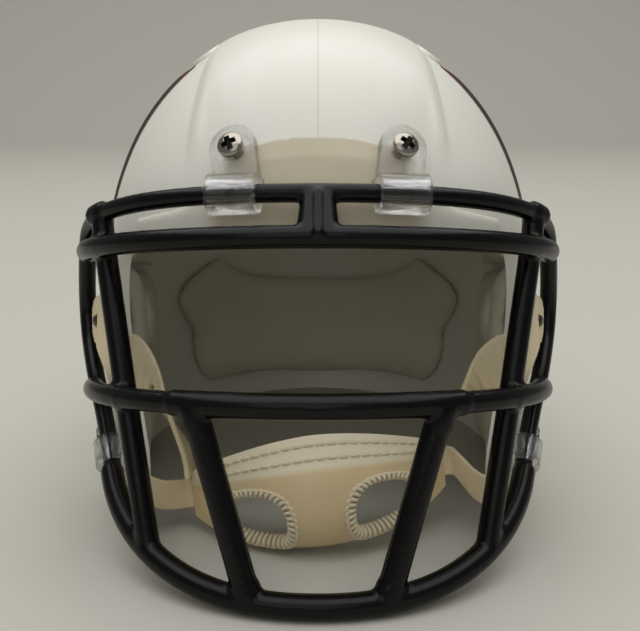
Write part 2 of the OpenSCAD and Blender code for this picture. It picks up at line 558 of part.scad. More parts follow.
// Chin strap, in a frame that leans about the hinge through the cup's ends
hinge_y = -36;
hinge_z = 23.2;
function lean(p) = let (d = p - [0, hinge_y, hinge_z])
    [d.x * cos(cup_lean) - d.z * sin(cup_lean), hinge_y + d.y, hinge_z + d.x * sin(cup_lean) + d.z * cos(cup_lean)];
module leaned() translate([0, hinge_y, hinge_z]) rotate([0, -cup_lean, 0]) translate([0, -hinge_y, -hinge_z]) children();
// Middle surface of the cup: u runs across from -1 to 1, v from the top edge down from 0 to 1
// The lower half turns under the chin: its slope grows with the square of the way down, as a series of its arc
cup_end = 5.6;
cup_turn = 105;
function cup_mid(u, v) = let (a = abs(u), w = 2 * v - 1, low = max(0, w), mid = 1 - a * a,
    half = mix(cup_h / 2, cup_end, pow(a, 1.8)), t = cup_turn * PI / 180 * mid, run = half * (1 + 0.4 * mid))
    [cup_half * u,
        hinge_y - cup_deep * (1 - pow(a, 2.2)) + (w > 0 ? 0 : 2.5 * mid * w * w)
            + run * (t * pow(low, 3) / 3 - pow(t, 3) * pow(low, 7) / 42 + pow(t, 5) * pow(low, 11) / 1320),
        hinge_z - 0.3 - (w > 0 ? run * (w - t * t * pow(w, 5) / 10 + pow(t, 4) * pow(w, 9) / 216) : half * w)];
function cup_out(u, v) = let (e = 0.02, du = cup_mid(min(1, u + e), v) - cup_mid(max(-1, u - e), v),
    dv = cup_mid(u, v - e) - cup_mid(u, v + e)) unit(cross(du, dv));
function cup_face(u, v, off) = let (p = cup_mid(u, v) + off * cup_out(u, v))
    [abs(u) == 1 ? cup_half * u : p.x, p.y, p.z];
// Grid stations; the corners of the two holes are drawn in, less at the bottom than at the top
cup_us = [-1, -0.93, -0.84, -0.76, -0.66, -0.54, -0.42, -0.3, -0.2, -0.1, 0, 0.1, 0.2, 0.3, 0.42, 0.54, 0.66, 0.76, 0.84, 0.93, 1];
cup_vs = [for (j = [0:10]) j / 10];
hole_c = [0.46, 0.65];
hole_r = [0.3, 0.25];
function cup_uv(i, j) = let (u = cup_us[i], v = cup_vs[j], s = sign(u), a = (abs(u) - hole_c[0]) / hole_r[0],
    b = (v - hole_c[1]) / hole_r[1], edge = max(abs(a), abs(b)), q = b > 0 ? 3 : 2,
    round_r = pow(pow(abs(a), q) + pow(abs(b), q), 1 / q))
    edge > 1.04 || edge < 0.5 ? [u, v]
        : [s * (hole_c[0] + hole_r[0] * a * edge / round_r), hole_c[1] + hole_r[1] * b * edge / round_r];
module chin_cup() color("#ece6d2") seated() leaned() panel(
    function (i, j, k) let (p = cup_uv(i, j)) cup_face(p[0], p[1], (k == 0 ? 1 : -1) * cup_t / 2), 20, 10,
    function (i, j) let (u = (cup_us[i] + cup_us[i + 1]) / 2, v = (cup_vs[j] + cup_vs[j + 1]) / 2)
        abs(abs(u) - hole_c[0]) < hole_r[0] && abs(v - hole_c[1]) < hole_r[1]);
// Flat strap through stations of [middle, direction of its width, half width]
module ribbon(stations, t, steps) {
    mids = spline([for (k = stations) k[0]], steps);
    ways = spline([for (k = stations) unit(k[1])], steps);
    halves = spline([for (k = stations) [k[2], 0, 0]], steps);
    n = len(mids);
    loft([for (i = [0:n - 1]) let (c = mids[i], w = halves[i].x * unit(ways[i]),
        f = unit(cross(mids[min(n - 1, i + 1)] - mids[max(0, i - 1)], w)) * t / 2)
        [c - w - f, c + w - f, c + w + f, c - w + f]]);
}
stud_d = 2.4;
function tangent(out, s) = -s * unit(cross(out, [0, 0, 1]));
module upper_leg(s) {
    half = leg_w / 2;
    off = cup_half + strap_gap + leg_t / 2;
    start = lean([s * off, hinge_y, hinge_z + 4.2]);
    second = lean([s * off, hinge_y - 0.2, hinge_z + 10]);
    snap = snap_seat(s) + (snap_stand + leg_t / 2) * snap_out(s);
    run = tangent(snap_out(s), s);
    edge = mirror_x(skin(bearing_y(-opening_y - 2.7, 53), 53), s);
    turn = edge + [-2.8 * s, -3.8, 0];
    wide = unit(cross(snap_out(s), run)) * s;
    difference() {
        ribbon([[start, [0, -1, 0], half], [second, [0, -1, 0], half],
            [mix(second, turn, 0.4) + [-0.4 * s, -0.6, 1], [-0.25 * s, -0.95, 0.12], half],
            [mix(second, turn, 0.75) + [-1.6 * s, -2.7, 0.6], [-0.3 * s, -0.42, 0.86], half],
            [turn, [-0.34 * s, -0.12, 0.92], half],
            [edge + [0.9 * s, -4, 1], [-0.16 * s, -0.06, 0.97], half],
            [snap - 5.4 * run + [0.7 * s, -0.4, -0.4], [-0.08 * s, 0, 0.99], half],
            [snap - 2.8 * run, wide, half], [snap + 2.8 * run, wide, half * 0.9],
            [snap + 5.6 * run, wide, half * 0.45]], leg_t, 3);
        on_skin(snap_seat(s), [0, 0, 1], snap_out(s)) translate([0, 0, -2]) cylinder(d = stud_d + 0.5, h = 12, $fn = 24);
    }
}
module lower_leg(s) {
    half = low_leg_w / 2;
    start = lean([s * (cup_half + strap_gap), hinge_y, hinge_z]);
    second = lean([s * (cup_half + strap_gap + 3), hinge_y - 0.6, hinge_z]);
    tall = [-sin(cup_lean), 0, cos(cup_lean)];
    snap = low_seat(s) + (low_stand + leg_t / 2) * low_out(s);
    run = tangent(low_out(s), s);
    edge = mirror_x(skin(bearing_y(-flap_toe_y, 23), 23), s);
    wide = unit(cross(low_out(s), run)) * s;
    difference() {
        ribbon([[start, tall, half], [second, tall, half],
            [mix(start, edge, 0.6) + [-0.4 * s, -2, -1.9], [0, 0, 1], half],
            [edge + [-2.4 * s, -1.7, -1.8], [0, 0, 1], half],
            [edge + [-0.2 * s, -1.9, -1.7], [0, 0, 1], half],
            [edge + 1.2 * low_out(s) + 1.6 * run - [0, 0, 1.2], wide, half],
            [snap - 2.6 * run, wide, half], [snap + 2.2 * run, wide, half],
            [snap + 4.6 * run, wide, half * 0.7]], leg_t, 2);
        on_skin(low_seat(s), [0, 0, 1], low_out(s)) translate([0, 0, -2]) cylinder(d = stud_d + 0.5, h = 12, $fn = 24);
    }
}
module upper_leg_left() color("#ece6d2") seated() upper_leg(-1);
module upper_leg_right() color("#ece6d2") seated() upper_leg(1);
module lower_leg_left() color("#ece6d2") seated() lower_leg(-1);
module lower_leg_right() color("#ece6d2") seated() lower_leg(1);

// Studs through the shell, each with a collar that the strap end seats on, and the caps over them
module stud(stand) {
    translate([0, 0, -shell_wall - nut_gap - 0.8]) cylinder(d = stud_d + 2, h = 0.8, $fn = 32);
    translate([0, 0, -shell_wall - nut_gap - 0.8]) cylinder(d = stud_d, h = shell_wall + nut_gap + 0.8 + stand + leg_t, $fn = 32);
    translate([0, 0, seat_gap]) cylinder(d = stud_d + 1.6, h = stand - 4 * seat_gap, $fn = 32);
}
module cap(stand) translate([0, 0, stand + leg_t + seat_gap]) rotate_extrude($fn = 32) intersection() {
    translate([0, -1.2]) circle(r = 2.1, $fn = 48);
    square([snap_d / 2, 2]);
}
module snap_studs() color("#77787a") seated() for (s = [-1, 1]) {
    on_skin(snap_seat(s), [0, 0, 1], snap_out(s)) stud(snap_stand);
    on_skin(low_seat(s), [0, 0, 1], low_out(s)) stud(low_stand);
}
module snap_caps() color("#1b1b1d") seated() for (s = [-1, 1]) {
    on_skin(snap_seat(s), [0, 0, 1], snap_out(s)) cap(snap_stand);
    on_skin(low_seat(s), [0, 0, 1], low_out(s)) cap(low_stand);
}

shell();
brow_bumper();
nape_bumper();
facemask();
top_clip_left();
top_clip_right();
side_clip_left();
side_clip_right();
top_screws();
side_screws();
clip_nuts();
crown_pad();
brow_pad();
rear_pad();
temple_pad_left();
temple_pad_right();
jaw_pad_left();
jaw_pad_right();
chin_cup();
upper_leg_left();
upper_leg_right();
lower_leg_left();
lower_leg_right();
snap_studs();
snap_caps();
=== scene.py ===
"""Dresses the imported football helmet: smooth shell and guard, clear clips, screws, foam pads,
stitched chin strap, side badges, and the stage it stands on."""
import math

import bmesh
import bpy
import numpy as np
from bpy.props import BoolProperty, FloatProperty, FloatVectorProperty, IntProperty, PointerProperty
from mathutils import Matrix, Vector


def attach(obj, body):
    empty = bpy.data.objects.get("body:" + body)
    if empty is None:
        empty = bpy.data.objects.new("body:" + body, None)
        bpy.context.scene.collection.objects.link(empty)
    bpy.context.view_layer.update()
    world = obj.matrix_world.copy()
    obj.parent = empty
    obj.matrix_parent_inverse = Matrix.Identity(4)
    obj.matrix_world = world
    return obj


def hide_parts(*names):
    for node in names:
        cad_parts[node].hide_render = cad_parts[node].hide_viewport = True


bl_info = {
    "name": "Football helmet",
    "version": (1, 0, 0),
    "blender": (4, 5, 0),
    "location": "View3D > Sidebar > Helmet",
    "description": "Models the finished pieces of a half-scale football helmet over its frame",
    "category": "Add Mesh",
}

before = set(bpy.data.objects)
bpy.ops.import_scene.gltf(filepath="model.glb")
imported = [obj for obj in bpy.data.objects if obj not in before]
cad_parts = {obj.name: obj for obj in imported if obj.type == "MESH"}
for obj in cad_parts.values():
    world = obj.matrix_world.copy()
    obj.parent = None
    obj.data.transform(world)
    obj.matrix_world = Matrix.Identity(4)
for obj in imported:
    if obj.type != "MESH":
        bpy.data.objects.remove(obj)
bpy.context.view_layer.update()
BODY = "helmet"
CUP = "chin_cup"

# The level helmet in millimetres, as the frame's source lays it out, before it is stood on its rim
LEAN = math.radians(14)
FLOOR_OFF, MIDDLE_OFF = 18.224, 9.82847
HALF_W, FRONT, REAR = 60.0, 66.0, 76.0
WIDEST, RISE, WALL = 64.0, 78.5, 2.6
PLAN, DOME = 2.05, 2.4
SIDE_TUCK, NAPE_TUCK, SKIRT = 0.1, 0.16, 60.0
BAND_RISE, BAND_HALF, BAND_FLARE, BAND_RAMP = 2.2, 24.0, 5.0, 4.0
BAND_PROFILE = ((0, 0.3, 0.6, 0.84, 1.0), (1, 0.97, 0.88, 0.76, 0.62))
BAND_SHOULDER = ((0, 0.45, 1.0), (0.62, 0.3, -0.2))
BAND_SINK = 1.2
BUMPER = 1.0
BROW_X, BROW_Z, JAW_Y, JAW_Z = 18.4, 101.5, -26, 33
TILT = Matrix.Rotation(-LEAN, 4, "X")
STAND = Matrix.Scale(0.001, 4) @ Matrix.Translation((0, -MIDDLE_OFF, -FLOOR_OFF)) @ TILT


# ---- outline of the shell


def skin_points(points, inset=0.0):
    """The places on the shell's skin, at an inset, that lie on the way from its middle through the points."""
    x, y, z = points.T
    half, long = HALF_W - inset, np.where(y < 0, FRONT, REAR) - inset
    plan = np.maximum((np.abs(x) / half) ** PLAN + (np.abs(y) / long) ** PLAN, 1e-9)
    over = np.maximum(z - WIDEST, 0)
    grow = np.maximum(plan ** (DOME / PLAN) + (over / (RISE - inset)) ** DOME, 1e-9) ** (-1 / DOME)
    rear = np.where(y > 0, (np.abs(y) / long) ** PLAN / plan, 0)
    under = 1 - (SIDE_TUCK + (NAPE_TUCK - SIDE_TUCK) * rear) * (np.maximum(WIDEST - z, 0) / SKIRT) ** 2
    level = under / plan ** (1 / PLAN)
    dome = np.stack([x * grow, y * grow, WIDEST + over * grow], 1)
    return np.where((z > WIDEST)[:, None], dome, np.stack([x * level, y * level, z], 1))


def skin_normals(skin):
    """Outward directions of the shell at places on its skin."""
    x, y, z = skin.T
    long = np.where(y < 0, FRONT, REAR)
    plan = np.maximum((np.abs(x) / HALF_W) ** PLAN + (np.abs(y) / long) ** PLAN, 1e-9)
    steep = plan ** (DOME / PLAN - 1)
    over = np.maximum(z - WIDEST, 0) / RISE
    nx = np.sign(x) * (np.abs(x) / HALF_W) ** (PLAN - 1) / HALF_W * steep
    ny = np.sign(y) * (np.abs(y) / long) ** (PLAN - 1) / long * steep
    nz = np.where(z > WIDEST, over ** (DOME - 1) / RISE, 0)
    turned = 2 * np.where(y > 0, NAPE_TUCK, SIDE_TUCK) * np.maximum(WIDEST - z, 0) / SKIRT ** 2
    nz = nz - np.where(z > WIDEST, 0, turned * np.hypot(nx, ny) * np.hypot(x, y))
    n = np.stack([nx, ny, nz], 1)
    return n / np.linalg.norm(n, axis=1, keepdims=True)


def ease(t):
    """Goes smoothly from 0 to 1."""
    t = np.clip(t, 0, 1)
    return t * t * (3 - 2 * t)


def band_height(skin):
    """Height of the raised crown band over the skin; at the brow it runs out longer than the frame's."""
    x, y, z = np.abs(skin[:, 0]), skin[:, 1], skin[:, 2]
    long = np.where(y < 0, FRONT, REAR)
    reach = np.maximum(long * np.maximum(1 - (x / HALF_W) ** PLAN, 1e-6) ** (1 / PLAN), 1e-6)
    edge = BAND_HALF + BAND_FLARE * np.clip(np.abs(y) / reach, 0, 1) ** 2
    # Where the band starts to rise and over what height it does, behind and at the brow
    flank = ease((x - 25) / 5)
    low = np.where(y > 0, 84, 97 - 2 * flank)
    run = np.where(y > 0, 12, 25 - 11 * flank)
    fade = ease((z - low) / run)
    inside, out = x / edge, (x - edge) / BAND_RAMP
    share = np.where(inside < 1, np.interp(inside, *BAND_PROFILE), np.interp(out, *BAND_SHOULDER))
    return np.maximum(0, BAND_RISE * share * fade - np.where(y < 0, 0, BAND_SINK * (1 - fade)))


def skin_at(bearing, z, inset=0.0):
    """One place on the skin, on a bearing in degrees (0 is the right ear, -90 the brow), at a height."""
    a = math.radians(bearing)
    c, s = math.cos(a), math.sin(a)
    x, y = math.copysign(abs(c) ** (2 / PLAN), c), math.copysign(abs(s) ** (2 / PLAN), s)
    long = FRONT if s < 0 else REAR
    if z > WIDEST:
        share = max(0.0, 1 - ((z - WIDEST) / (RISE - inset)) ** DOME) ** (1 / DOME)
        return Vector(((HALF_W - inset) * share * x, (long - inset) * share * y, z))
    return Vector(skin_points(np.array([[HALF_W * x, long * y, z]]), inset)[0])


def bearing_for(value, z, axis):
    """Bearing on the front half at which the skin has this x (axis 0) or y (axis 1) at a height."""
    low, high = -90.0, 0.0
    for _ in range(50):
        middle = (low + high) / 2
        low, high = (middle, high) if skin_at(middle, z)[axis] < value else (low, middle)
    return low


def seat(bearing, z, side, lift=0.0):
    """A place on the shell on one side of the helmet, and the direction outwards there."""
    at = skin_at(bearing, z, -lift)
    d_round = skin_at(bearing + 0.5, z) - skin_at(bearing - 0.5, z)
    d_up = skin_at(bearing, z + 0.5) - skin_at(bearing, z - 0.5)
    out = d_round.cross(d_up).normalized()
    at.x, out.x = at.x * side, out.x * side
    return at, out


def seat_matrix(at, aside, out):
    """Stands a piece on the shell: its z points outwards, its x aside."""
    x = (aside - aside.dot(out) * out).normalized()
    y = out.cross(x)
    turn = Matrix((x, y, out)).transposed().to_4x4()
    return STAND @ Matrix.Translation(at) @ turn


def screw_seats():
    """The four screw places, each with its outward and sideways directions; the brow's lie on the bumper."""
    brow, jaw = bearing_for(BROW_X, BROW_Z, 0), bearing_for(JAW_Y, JAW_Z, 1)
    places = []
    for side in (-1, 1):
        places.append((*seat(brow, BROW_Z, side, BUMPER), Vector((1, 0, 0))))
        places.append((*seat(jaw, JAW_Z, side), Vector((0, 0, -side))))
    return places


# ---- small helpers


def colour(text):
    """Linear red, green, blue and alpha of an sRGB hex value."""
    parts = [int(text[i:i + 2], 16) / 255 for i in (1, 3, 5)]
    return (*[c / 12.92 if c <= 0.04045 else ((c + 0.055) / 1.055) ** 2.4 for c in parts], 1)


def add(tree, kind, values=None, links=None, **settings):
    """Adds a node with its settings, its values and what feeds it: sockets, or nodes by first output."""
    made = tree.nodes.new("ShaderNode" + kind)
    for name, value in settings.items():
        setattr(made, name, value)
    for name, value in (values or {}).items():
        made.inputs[name].default_value = value
    for name, source in (links or {}).items():
        tree.links.new(source.outputs[0] if hasattr(source, "outputs") else source, made.inputs[name])
    return made


def material(name, build, *values):
    """A new material: build adds its nodes, fed by the piece's own coordinates, and gives back the shader."""
    made = bpy.data.materials.new(name)
    made.use_nodes = True
    tree = made.node_tree
    tree.nodes.clear()
    shader = build(tree, add(tree, "TexCoord").outputs["Object"], *values)
    add(tree, "OutputMaterial", links={"Surface": shader})
    return made


def only(obj):
    """Selects one object and makes it the active one."""
    bpy.ops.object.select_all(action="DESELECT")
    obj.select_set(True)
    bpy.context.view_layer.objects.active = obj


def settle(obj, matrix=None):
    """Puts the object's place into its mesh."""
    only(obj)
    if matrix is not None:
        obj.matrix_world = matrix
    bpy.ops.object.transform_apply(location=True, rotation=True, scale=True)


def edit_whole(obj):
    """Opens an object's mesh in edit mode with all of it selected."""
    only(obj)
    bpy.ops.object.mode_set(mode="EDIT")
    bpy.ops.mesh.select_all(action="SELECT")


def close_edit():
    """Goes back to object mode."""
    bpy.ops.object.mode_set(mode="OBJECT")


def face_outwards(obj):
    """Turns all of an object's faces outwards."""
    edit_whole(obj)
    bpy.ops.mesh.normals_make_consistent(inside=False)
    close_edit()


def copy_of(obj, name, matrix=None):
    """A copy with a mesh of its own; with a matrix, it is put there."""
    made = obj.copy()
    made.data = obj.data.copy()
    made.name = made.data.name = name
    bpy.context.collection.objects.link(made)
    if matrix is not None:
        settle(made, matrix)
    return made


def node_copy(node, name):
    """A merged copy of a frame node, to be finished."""
    made = copy_of(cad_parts[node], name)
    for key in [k for k in made.keys() if k.startswith("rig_")]:
        del made[key]
    edit_whole(made)
    bpy.ops.mesh.remove_doubles(threshold=2e-6)
    close_edit()
    return made


def new_object(name, data):
    """Puts data into the scene as an object."""
    made = bpy.data.objects.new(name, data)
    bpy.context.collection.objects.link(made)
    return made


def primitive(kind, **settings):
    """Adds one of Blender's primitive meshes by itself."""
    bpy.ops.object.select_all(action="DESELECT")
    getattr(bpy.ops.mesh, "primitive_%s_add" % kind)(**settings)
    return bpy.context.object


def ball(at, diameter):
    """A ball of a diameter in millimetres at a standing place."""
    made = primitive("uv_sphere", segments=24, ring_count=16, radius=diameter / 2000, location=at)
    settle(made)
    return made


def finish_modifiers(obj):
    """Applies all of an object's modifiers, in order."""
    only(obj)
    for each in list(obj.modifiers):
        bpy.ops.object.modifier_apply(modifier=each.name)


def modifier(obj, kind, **settings):
    """Adds a modifier with its settings."""
    made = obj.modifiers.new(kind.title(), kind)
    for name, value in settings.items():
        setattr(made, name, value)
    return made


def bevel(obj, width, segments, angle, **more):
    """Rounds the edges that turn by more than an angle in degrees."""
    modifier(obj, "BEVEL", width=width, segments=segments, limit_method="ANGLE",
             angle_limit=math.radians(angle), **more)
    finish_modifiers(obj)


def smooth_faces(obj, angle=None):
    """Shades all faces smoothly, but for edges that turn by more than an angle in degrees."""
    only(obj)
    if angle is None:
        bpy.ops.object.shade_smooth()
    else:
        bpy.ops.object.shade_smooth_by_angle(angle=math.radians(angle))


def dress(obj, finishes, body=BODY, replaced=()):
    """Gives a piece its body, the nodes it replaces, and its finish, or several that its faces point to."""
    several = isinstance(finishes, tuple)
    kept = [face.material_index for face in obj.data.polygons] if several else None
    obj.data.materials.clear()
    for one in finishes if several else (finishes,):
        obj.data.materials.append(one)
    if several:
        obj.data.polygons.foreach_set("material_index", kept)
    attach(obj, body)
    if replaced:
        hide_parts(*replaced)
    return obj


def voxel(obj, size, rounds):
    """Turns a faceted copy into an even skin and eases its facets away."""
    modifier(obj, "REMESH", mode="VOXEL", voxel_size=size, adaptivity=0, use_smooth_shade=True)
    modifier(obj, "SMOOTH", factor=0.5, iterations=rounds)
    finish_modifiers(obj)
    smooth_faces(obj)


def get_points(obj):
    """All points of a mesh, a row each."""
    flat = np.empty(len(obj.data.vertices) * 3)
    obj.data.vertices.foreach_get("co", flat)
    return flat.reshape(-1, 3)


def set_points(obj, points):
    obj.data.vertices.foreach_set("co", np.ascontiguousarray(points, dtype=np.float64).ravel())
    obj.data.update()


def to_level(points):
    """Standing places in metres, as places on the level helmet in millimetres."""
    m = np.array(STAND.inverted())
    return points @ m[:3, :3].T + m[:3, 3]


def to_stand(points):
    """Places on the level helmet in millimetres, as standing places in metres."""
    m = np.array(STAND)
    return points @ m[:3, :3].T + m[:3, 3]


def join(objects, name):
    """Makes one object of several."""
    only(objects[0])
    for obj in objects[1:]:
        obj.select_set(True)
    bpy.ops.object.join()
    made = bpy.context.object
    made.name = made.data.name = name
    return made


def tube(points, radius, name, sides=8):
    """A thread along points: a curve with a round bevel, made a mesh."""
    data = bpy.data.curves.new(name, "CURVE")
    data.dimensions = "3D"
    data.bevel_depth = radius
    data.bevel_resolution = max(0, sides // 4 - 1)
    data.use_fill_caps = True
    line = data.splines.new("POLY")
    line.points.add(len(points) - 1)
    for p, q in zip(line.points, points):
        p.co = (*q, 1)
    only(new_object(name, data))
    bpy.ops.object.convert(target="MESH")
    return bpy.context.object


# ---- finishes


# Sockets of a Mix node that mixes colours: the two it mixes, and the outcome
MIX_A, MIX_B, MIX_OUT = 6, 7, 2


def pearl_abs(tree, place):
    """Injection-moulded ABS with a pearl lacquer: broad soft gloss over a very fine orange peel."""
    peel = add(tree, "TexNoise", {"Scale": 900, "Detail": 2, "Roughness": 0.55}, {"Vector": place})
    cloud = add(tree, "TexNoise", {"Scale": 28, "Detail": 4, "Roughness": 0.55}, {"Vector": place})
    tint = add(tree, "Mix", {MIX_A: colour("#F0EEE3"), MIX_B: colour("#E6E3D6")},
               {"Factor": cloud}, data_type="RGBA")
    axes = add(tree, "SeparateXYZ", links={"Vector": place})
    side = add(tree, "Math", links={0: axes}, operation="ABSOLUTE")
    # Parting line of the mould, 0.3 mm wide with its soft edges, on the helmet's middle
    line = add(tree, "MapRange",
               {"From Min": 0.00003, "From Max": 0.00016, "To Min": 0.75, "To Max": 0},
               {"Value": side}, interpolation_type="SMOOTHSTEP")
    seam = add(tree, "Mix", {MIX_B: colour("#B7B4A6")},
               {"Factor": line, MIX_A: tint.outputs[MIX_OUT]}, data_type="RGBA")
    depth = add(tree, "Math", {1: -0.6}, {0: line}, operation="MULTIPLY")
    height = add(tree, "Math", {1: 0.12, 2: 0}, {0: peel, 2: depth}, operation="MULTIPLY_ADD")
    bump = add(tree, "Bump", {"Strength": 0.35, "Distance": 0.00008}, {"Height": height})
    gloss = add(tree, "MapRange", {"From Min": 0.3, "From Max": 0.7, "To Min": 0.34, "To Max": 0.44},
                {"Value": cloud})
    return add(tree, "BsdfPrincipled",
               {"IOR": 1.5, "Coat Weight": 0.12, "Coat Roughness": 0.25, "Coat IOR": 1.5},
               {"Base Color": seam.outputs[MIX_OUT], "Roughness": gloss, "Normal": bump})


def gloss_black_abs(tree, place):
    """Injection-moulded black ABS, left glossy by a polished tool: sharp highlights with faint flow marks."""
    flow = add(tree, "TexNoise", {"Scale": 60, "Detail": 4, "Roughness": 0.55}, {"Vector": place})
    dust = add(tree, "TexNoise", {"Scale": 700, "Detail": 1, "Roughness": 0.55}, {"Vector": place})
    speck = add(tree, "MapRange", {"From Min": 0.74, "From Max": 0.8}, {"Value": dust})
    tint = add(tree, "Mix", {MIX_A: colour("#050403"), MIX_B: colour("#1A1714")},
               {"Factor": speck}, data_type="RGBA")
    gloss = add(tree, "MapRange", {"From Min": 0.3, "From Max": 0.7, "To Min": 0.2, "To Max": 0.3},
                {"Value": flow})
    bump = add(tree, "Bump", {"Strength": 0.25, "Distance": 0.00015}, {"Height": flow})
    return add(tree, "BsdfPrincipled", {"IOR": 1.53, "Specular IOR Level": 0.2},
               {"Base Color": tint.outputs[MIX_OUT], "Roughness": gloss, "Normal": bump})


def cream_vinyl(tree, place, base, deep, soft, pale=None):
    """Calendered soft vinyl: satin, with a fine leathery grain and handling marks; part of some pieces is
    drawn paler: the bumpers towards their ends, and the cup's top band, where it is painted light.
    """
    pebble = add(tree, "TexVoronoi", {"Scale": 1500}, {"Vector": place}, feature="SMOOTH_F1")
    mark = add(tree, "TexNoise", {"Scale": 90, "Detail": 5, "Roughness": 0.55}, {"Vector": place})
    tint = add(tree, "Mix", {MIX_A: colour(base), MIX_B: colour(deep)}, {"Factor": mark}, data_type="RGBA")
    # The paler part: on the bumpers, their ends; on the cup, its top band, a painted highlight where it faces
    # up to the lamp
    if pale:
        light, space, axis, low, high = pale
        axes = add(tree, "SeparateXYZ", links={"Vector": place.node.outputs[space]})
        away = add(tree, "Math", links={0: axes.outputs[axis]}, operation="ABSOLUTE")
        paler_share = add(tree, "MapRange", {"From Min": low, "From Max": high}, {"Value": away},
                   interpolation_type="SMOOTHSTEP")
        tint = add(tree, "Mix", {MIX_B: colour(light)},
                   {"Factor": paler_share, MIX_A: tint.outputs[MIX_OUT]}, data_type="RGBA")
    height = add(tree, "Math", {1: 0.5}, {0: pebble, 2: mark}, operation="MULTIPLY_ADD")
    bump = add(tree, "Bump", {"Strength": 0.3, "Distance": 0.00012}, {"Height": height})
    gloss = add(tree, "MapRange", {"From Min": 0.3, "From Max": 0.7, "To Min": soft, "To Max": soft + 0.12},
                {"Value": mark})
    return add(tree, "BsdfPrincipled",
               {"IOR": 1.53, "Subsurface Weight": 0.12, "Subsurface Scale": 0.0012,
                "Subsurface Radius": (1.0, 0.6, 0.35)},
               {"Base Color": tint.outputs[MIX_OUT], "Roughness": gloss, "Normal": bump})


def clear_polycarbonate(tree, place):
    """Moulded clear polycarbonate: polished faces, a hint of smoke and faint swirls from handling."""
    swirl = add(tree, "TexNoise", {"Scale": 160, "Detail": 5, "Roughness": 0.55}, {"Vector": place})
    gloss = add(tree, "MapRange", {"From Min": 0.35, "From Max": 0.75, "To Min": 0.02, "To Max": 0.12},
                {"Value": swirl})
    bump = add(tree, "Bump", {"Strength": 0.12, "Distance": 0.0002}, {"Height": swirl})
    return add(tree, "BsdfPrincipled",
               {"Base Color": colour("#FAFBFA"), "IOR": 1.585, "Transmission Weight": 1.0, "Alpha": 0.6},
               {"Roughness": gloss, "Normal": bump})


def nickel_steel(tree, place, base, low, high):
    """Nickel-plated steel: bright, with fine turning marks and a little tarnish."""
    turned = add(tree, "TexNoise", {"Scale": 2200, "Detail": 2, "Roughness": 0.55}, {"Vector": place})
    stain = add(tree, "TexNoise", {"Scale": 240, "Detail": 4, "Roughness": 0.55}, {"Vector": place})
    dull = add(tree, "MapRange", {"From Min": 0.5, "From Max": 0.9, "To Max": 0.5}, {"Value": stain})
    tint = add(tree, "Mix", {MIX_A: colour(base), MIX_B: colour("#7D7468")},
               {"Factor": dull}, data_type="RGBA")
    gloss = add(tree, "MapRange", {"To Min": low, "To Max": high}, {"Value": turned})
    return add(tree, "BsdfPrincipled", {"Metallic": 1.0},
               {"Base Color": tint.outputs[MIX_OUT], "Roughness": gloss})


def skinned_foam(tree, place, base, deep):
    """Cross-linked polyethylene foam with its smooth skin: matt, with closed cells just showing."""
    cells = add(tree, "TexVoronoi", {"Scale": 1300}, {"Vector": place})
    dent = add(tree, "TexNoise", {"Scale": 70, "Detail": 4, "Roughness": 0.55}, {"Vector": place})
    tint = add(tree, "Mix", {MIX_A: colour(base), MIX_B: colour(deep)}, {"Factor": dent}, data_type="RGBA")
    height = add(tree, "Math", {1: 0.35}, {0: cells, 2: dent}, operation="MULTIPLY_ADD")
    bump = add(tree, "Bump", {"Strength": 0.4, "Distance": 0.00025}, {"Height": height})
    return add(tree, "BsdfPrincipled",
               {"IOR": 1.5, "Roughness": 0.78, "Sheen Weight": 0.15, "Sheen Roughness": 0.5},
               {"Base Color": tint.outputs[MIX_OUT], "Normal": bump})


def twisted_thread(tree, place, base):
    """Bonded polyester thread, matt, 0.8 mm thick; its twist is drawn coarser than real so that it shows."""
    twist = add(tree, "TexWave", {"Scale": 900, "Distortion": 1.5}, {"Vector": place},
                bands_direction="DIAGONAL")
    bump = add(tree, "Bump", {"Strength": 0.25, "Distance": 0.0001}, {"Height": twist.outputs["Fac"]})
    tint = add(tree, "Mix", {MIX_A: colour(base), MIX_B: colour("#DDCDA8")},
               {"Factor": twist.outputs["Fac"]}, data_type="RGBA")
    return add(tree, "BsdfPrincipled", {"IOR": 1.5, "Roughness": 0.62, "Sheen Weight": 0.2},
               {"Base Color": tint.outputs[MIX_OUT], "Normal": bump})


def printed_film(tree, place, base, worn):
    """Screen-printed vinyl film: satin ink with faint print mottle."""
    mottle = add(tree, "TexNoise", {"Scale": 420, "Detail": 3, "Roughness": 0.55}, {"Vector": place})
    tint = add(tree, "Mix", {MIX_A: colour(base), MIX_B: colour(worn)}, {"Factor": mottle}, data_type="RGBA")
    bump = add(tree, "Bump", {"Strength": 0.15, "Distance": 0.00005}, {"Height": mottle})
    return add(tree, "BsdfPrincipled",
               {"IOR": 1.5, "Roughness": 0.5, "Specular IOR Level": 0.15},
               {"Base Color": tint.outputs[MIX_OUT], "Normal": bump})


def gloss_cap(tree, place):
    """Enamelled snap cap: black, with worn patches where the lacquer thins."""
    wear = add(tree, "TexNoise", {"Scale": 900, "Detail": 4, "Roughness": 0.55}, {"Vector": place})
    tint = add(tree, "Mix", {MIX_A: colour("#17120F"), MIX_B: colour("#3A2E28")},
               {"Factor": wear}, data_type="RGBA")
    return add(tree, "BsdfPrincipled", {"IOR": 1.5, "Roughness": 0.3, "Coat Weight": 0.4},
               {"Base Color": tint.outputs[MIX_OUT]})


def seamless_paper(tree, place, base):
    """Heavy uncoated background paper: matt, with a faint nap of fibres."""
    fibre = add(tree, "TexNoise", {"Scale": 260, "Detail": 4, "Roughness": 0.55}, {"Vector": place})
    bump = add(tree, "Bump", {"Strength": 0.1, "Distance": 0.0003}, {"Height": fibre})
    return add(tree, "BsdfPrincipled",
               {"Base Color": (*base, 1), "Roughness": 0.85, "Specular IOR Level": 0.2},
               {"Normal": bump})


